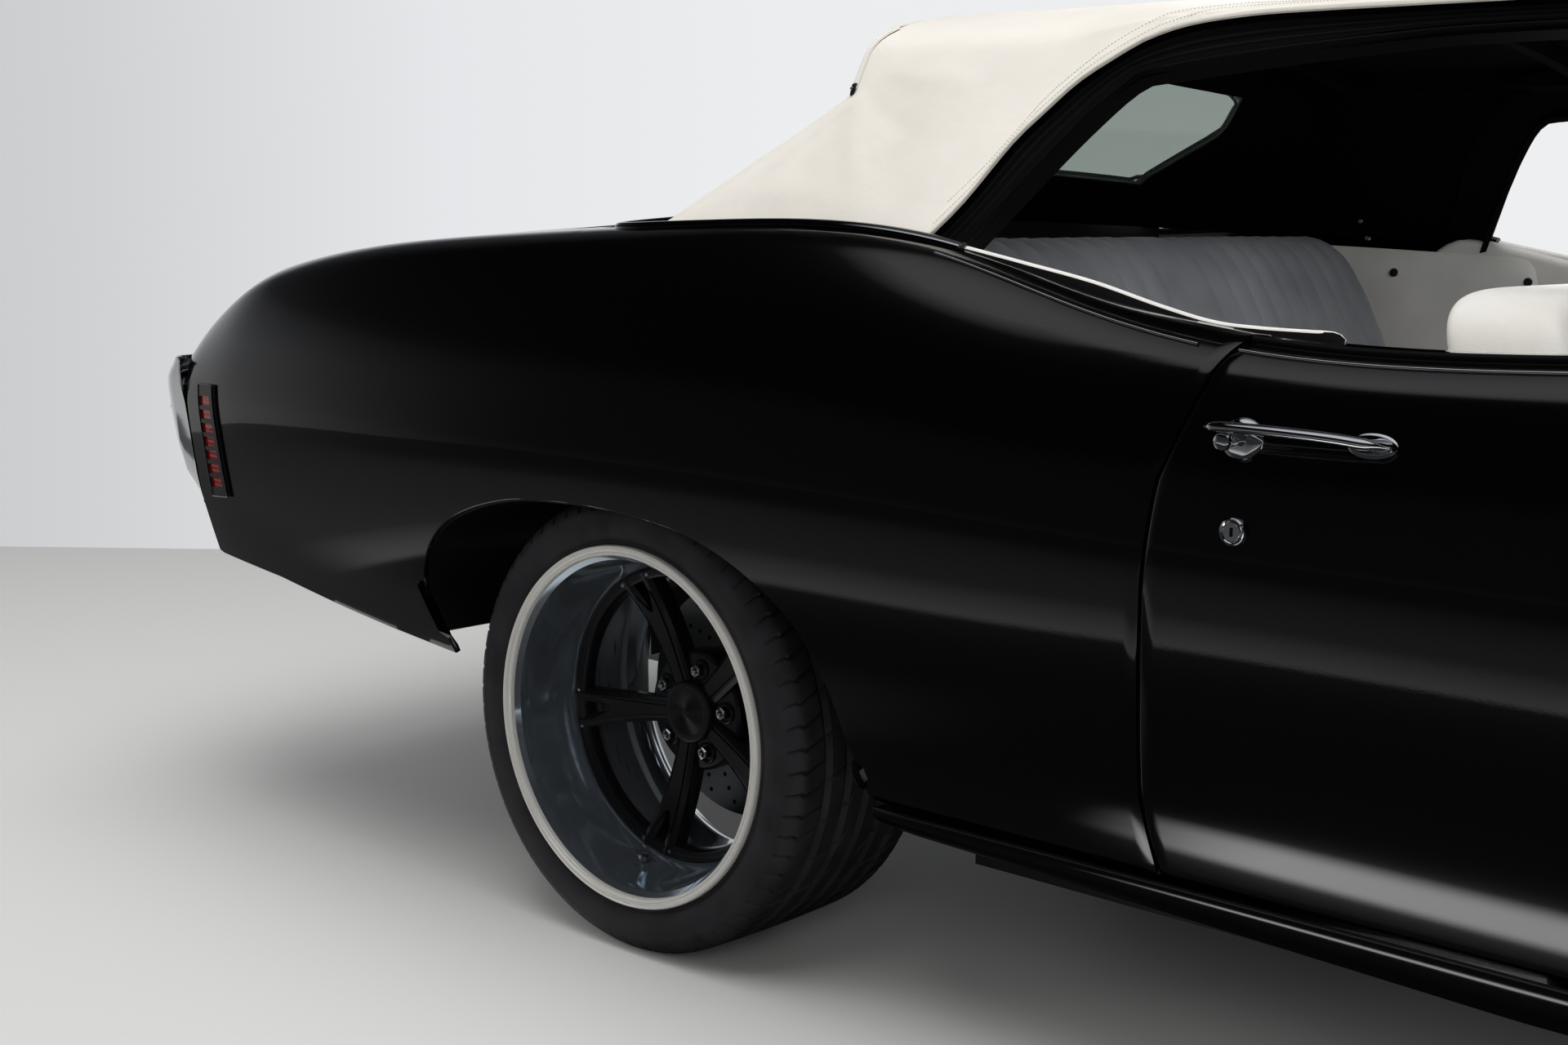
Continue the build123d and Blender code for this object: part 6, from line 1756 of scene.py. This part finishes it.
def studio_floor():
    """Pale floor up to the foot of the far wall. In glossy rays it shows a painted reflection instead: dark
    close by and pale further out, with painted lighter patches and a painted highlight streak that glows
    along the door's foot."""
    made, tree, shader = material("stage_floor", "#E4E4E1", 0.45)
    place = add_node(tree, "ShaderNodeSeparateXYZ", inputs={0: object_coords(tree)})
    x, y = place.outputs["X"], place.outputs["Y"]
    out_x, out_y = maths(tree, "SUBTRACT", -3.4, x), maths(tree, "SUBTRACT", -2.6, y)
    beyond = maths(tree, "MAXIMUM", out_x, out_y)
    # painted reflection: in glossy rays the floor is dark close to the car, with a thin painted bright line
    # at the dark zone's edge, and grey further out
    far = ramp(tree, between(tree, beyond, -0.2, 5.0), [
        (0.0, "#252525"), (0.025, "#252525"), (0.04, "#D8D8D6"), (0.07, "#C0C0BE"), (0.14, "#6E6E6D"),
        (1.0, "#464646"),
    ])
    # painted reflection: a lighter grey patch close beside the car towards its rear
    painted_lit_patch = maths(tree, "MULTIPLY", near_value(tree, y, -1.95, -1.6), near_value(tree, x, -1.1, -1.7))
    near = mixed(tree, painted_lit_patch, far, colour("#5A5A59"))
    # painted highlight: a band 1.15 to 1.2 m out from the centre line, under the door
    painted_streak_band = maths(tree, "MULTIPLY", near_value(tree, y, -1.11, -1.15), near_value(tree, y, -1.30, -1.20))
    painted_streak_band = maths(tree, "MULTIPLY", painted_streak_band, near_value(tree, x, -0.8, -0.5))
    # painted reflection: a pale patch right beside the car, behind the rear wheel's middle
    painted_pale_by_wheel = maths(tree, "MULTIPLY", near_value(tree, y, -1.16, -1.1), near_value(tree, x, -1.2, -1.4))
    glossy = mixed(tree, painted_pale_by_wheel, near, colour("#E6E6E4"))
    # glossy rays see these painted reflection colours; all other rays see the plain pale floor
    rays = add_node(tree, "ShaderNodeLightPath")
    tree.links.new(mixed(tree, rays.outputs["Is Glossy Ray"], colour("#E4E4E1"), glossy),
                   shader.inputs["Base Color"])
    # painted highlight: the floor glows white along this band, only in glossy rays, where no lamp is
    shader.inputs["Emission Color"].default_value = colour("#FFFFFF")
    painted_highlight_streak = maths(tree, "MULTIPLY", painted_streak_band, rays.outputs["Is Glossy Ray"])
    tree.links.new(maths(tree, "MULTIPLY", painted_highlight_streak, 3.6), shader.inputs["Emission Strength"])
    along, ahead, foot = np.array(RIGHT_OF_CAMERA), np.array(AHEAD_OF_CAMERA), np.array([-4.689, 0.286, 0.0])
    reach = 40.0
    left, right = foot - along * reach, foot + along * reach
    mesh = bpy.data.meshes.new("floor")
    mesh.from_pydata([left, right, right - ahead * reach, left - ahead * reach], [], [(3, 2, 1, 0)])
    mesh.materials.append(made)
    ground = bpy.data.objects.new("floor", mesh)
    bpy.context.scene.collection.objects.link(ground)


def studio_world():
    """Pale wall, brighter to the camera's right. Glossy rays see a painted reflection instead: dim to the
    near side, dark high up, and a painted bright patch straight overhead for the overhead lamp."""
    world = bpy.data.worlds.new("studio")
    bpy.context.scene.world = world
    world.use_nodes = True
    tree = world.node_tree
    back = tree.nodes["Background"]
    direction = add_node(tree, "ShaderNodeTexCoord").outputs["Generated"]
    split = add_node(tree, "ShaderNodeSeparateXYZ", inputs={0: direction})
    height = between(tree, split.outputs["Z"], -1.0, 1.0)
    dot = {"operation": "DOT_PRODUCT"}
    across = add_node(tree, "ShaderNodeVectorMath", dot, {0: direction, 1: RIGHT_OF_CAMERA}).outputs["Value"]
    far_side = (-0.67, 0.74, 0.0)
    ahead = add_node(tree, "ShaderNodeVectorMath", dot, {0: direction, 1: far_side}).outputs["Value"]
    seen = ramp(tree, between(tree, across, -0.4, 0.4), [
        (0.0, "#C8C9CB"), (0.1, "#D0D1D3"), (0.3, "#E6E7EA"), (0.5, "#ECEDEF"), (1.0, "#EEEFF1"),
    ])
    gloss_far = ramp(tree, height, [
        (0.48, "#D8D8D6"), (0.60, "#B4B6BA"), (0.68, "#3A3B3E"), (0.8, "#060607"), (1.0, "#030303"),
    ])
    # painted reflection: the bright band at the top of gloss_near stands in for the overhead lamp, which
    # glossy rays don't see
    gloss_near = ramp(tree, height, [
        (0.40, "#505050"), (0.495, "#3C3C3D"), (0.51, "#2E2E30"), (0.66, "#2A2A2C"), (0.71, "#09090A"),
        (0.895, "#050505"), (0.915, "#D4D4D8"), (1.0, "#D4D4D8"),
    ])
    gloss = mixed(tree, near_value(tree, ahead, 0.02, 0.85), gloss_near, gloss_far)
    rays = add_node(tree, "ShaderNodeLightPath")
    tree.links.new(mixed(tree, rays.outputs["Is Glossy Ray"], seen, gloss), back.inputs["Color"])
    clear = maths(tree, "MAXIMUM", rays.outputs["Is Camera Ray"], rays.outputs["Is Glossy Ray"])
    clear = maths(tree, "MAXIMUM", clear, rays.outputs["Is Transmission Ray"])
    tree.links.new(spread(tree, clear, 0.42, 1.0), back.inputs["Strength"])


def studio_lamps():
    """Soft overhead lamp, one from the left wall, a fill from the camera's side, and a faint one in the
    cabin."""
    lamps = (
        ("overhead", (-1.0, -1.0, 4.6), (0.0, 0.0, 0.0), 6.0, 3.4, 180.0),
        ("left_wall", (-5.6, -4.4, 2.6), (-1.0, -0.6, 0.9), 3.0, 3.0, 52.0),
        ("right_fill", (2.4, -4.8, 2.4), (-0.8, 0.0, 0.9), 3.0, 2.0, 46.0),
        ("cabin_fill", (-0.35, -0.1, 1.2), (-0.7, -0.1, 0.6), 0.7, 0.7, 5.0),
    )
    for name, place, aim, width, depth, power in lamps:
        data = bpy.data.lights.new(name, "AREA")
        data.shape, data.size, data.size_y, data.energy = "RECTANGLE", width, depth, power
        lamp = bpy.data.objects.new(name, data)
        lamp.location = place
        away = np.array(place) - np.array(aim)
        pitch = math.atan2(math.hypot(away[0], away[1]), away[2])
        lamp.rotation_euler = (pitch, 0, math.atan2(away[1], away[0]) + math.pi / 2)
        # glossy rays don't see the lamps; the world's painted bright patch stands in for the overhead one
        lamp.visible_glossy = False
        bpy.context.scene.collection.objects.link(lamp)


def camera():
    """Camera fitted to the photograph: place in metres, heading, pitch and roll in degrees, lens on 36 mm."""
    place, heading, pitch, roll, focal = (0.676, -2.741, 1.004), 132.14, -8.81, 0.69, 46.8
    h, p, r = (math.radians(v) for v in (heading, pitch, roll))
    ahead = np.array([math.cos(p) * math.cos(h), math.cos(p) * math.sin(h), math.sin(p)])
    side = np.cross(ahead, [0, 0, 1])
    side /= np.linalg.norm(side)
    up = np.cross(side, ahead)
    side, up = side * math.cos(r) + up * math.sin(r), up * math.cos(r) - side * math.sin(r)
    data = bpy.data.cameras.new("photo_camera")
    data.lens, data.sensor_width, data.sensor_fit = focal, 36.0, "HORIZONTAL"
    data.clip_start, data.clip_end = 0.05, 200.0
    made = bpy.data.objects.new("photo_camera", data)
    bpy.context.scene.collection.objects.link(made)
    rows = [[side[i], up[i], -ahead[i], place[i]] for i in range(3)] + [[0, 0, 0, 1]]
    made.matrix_world = Matrix([[float(v) for v in row] for row in rows])
    bpy.context.scene.camera = made


studio_floor()
studio_world()
studio_lamps()
camera()
bpy.context.scene.view_settings.view_transform = "Standard"
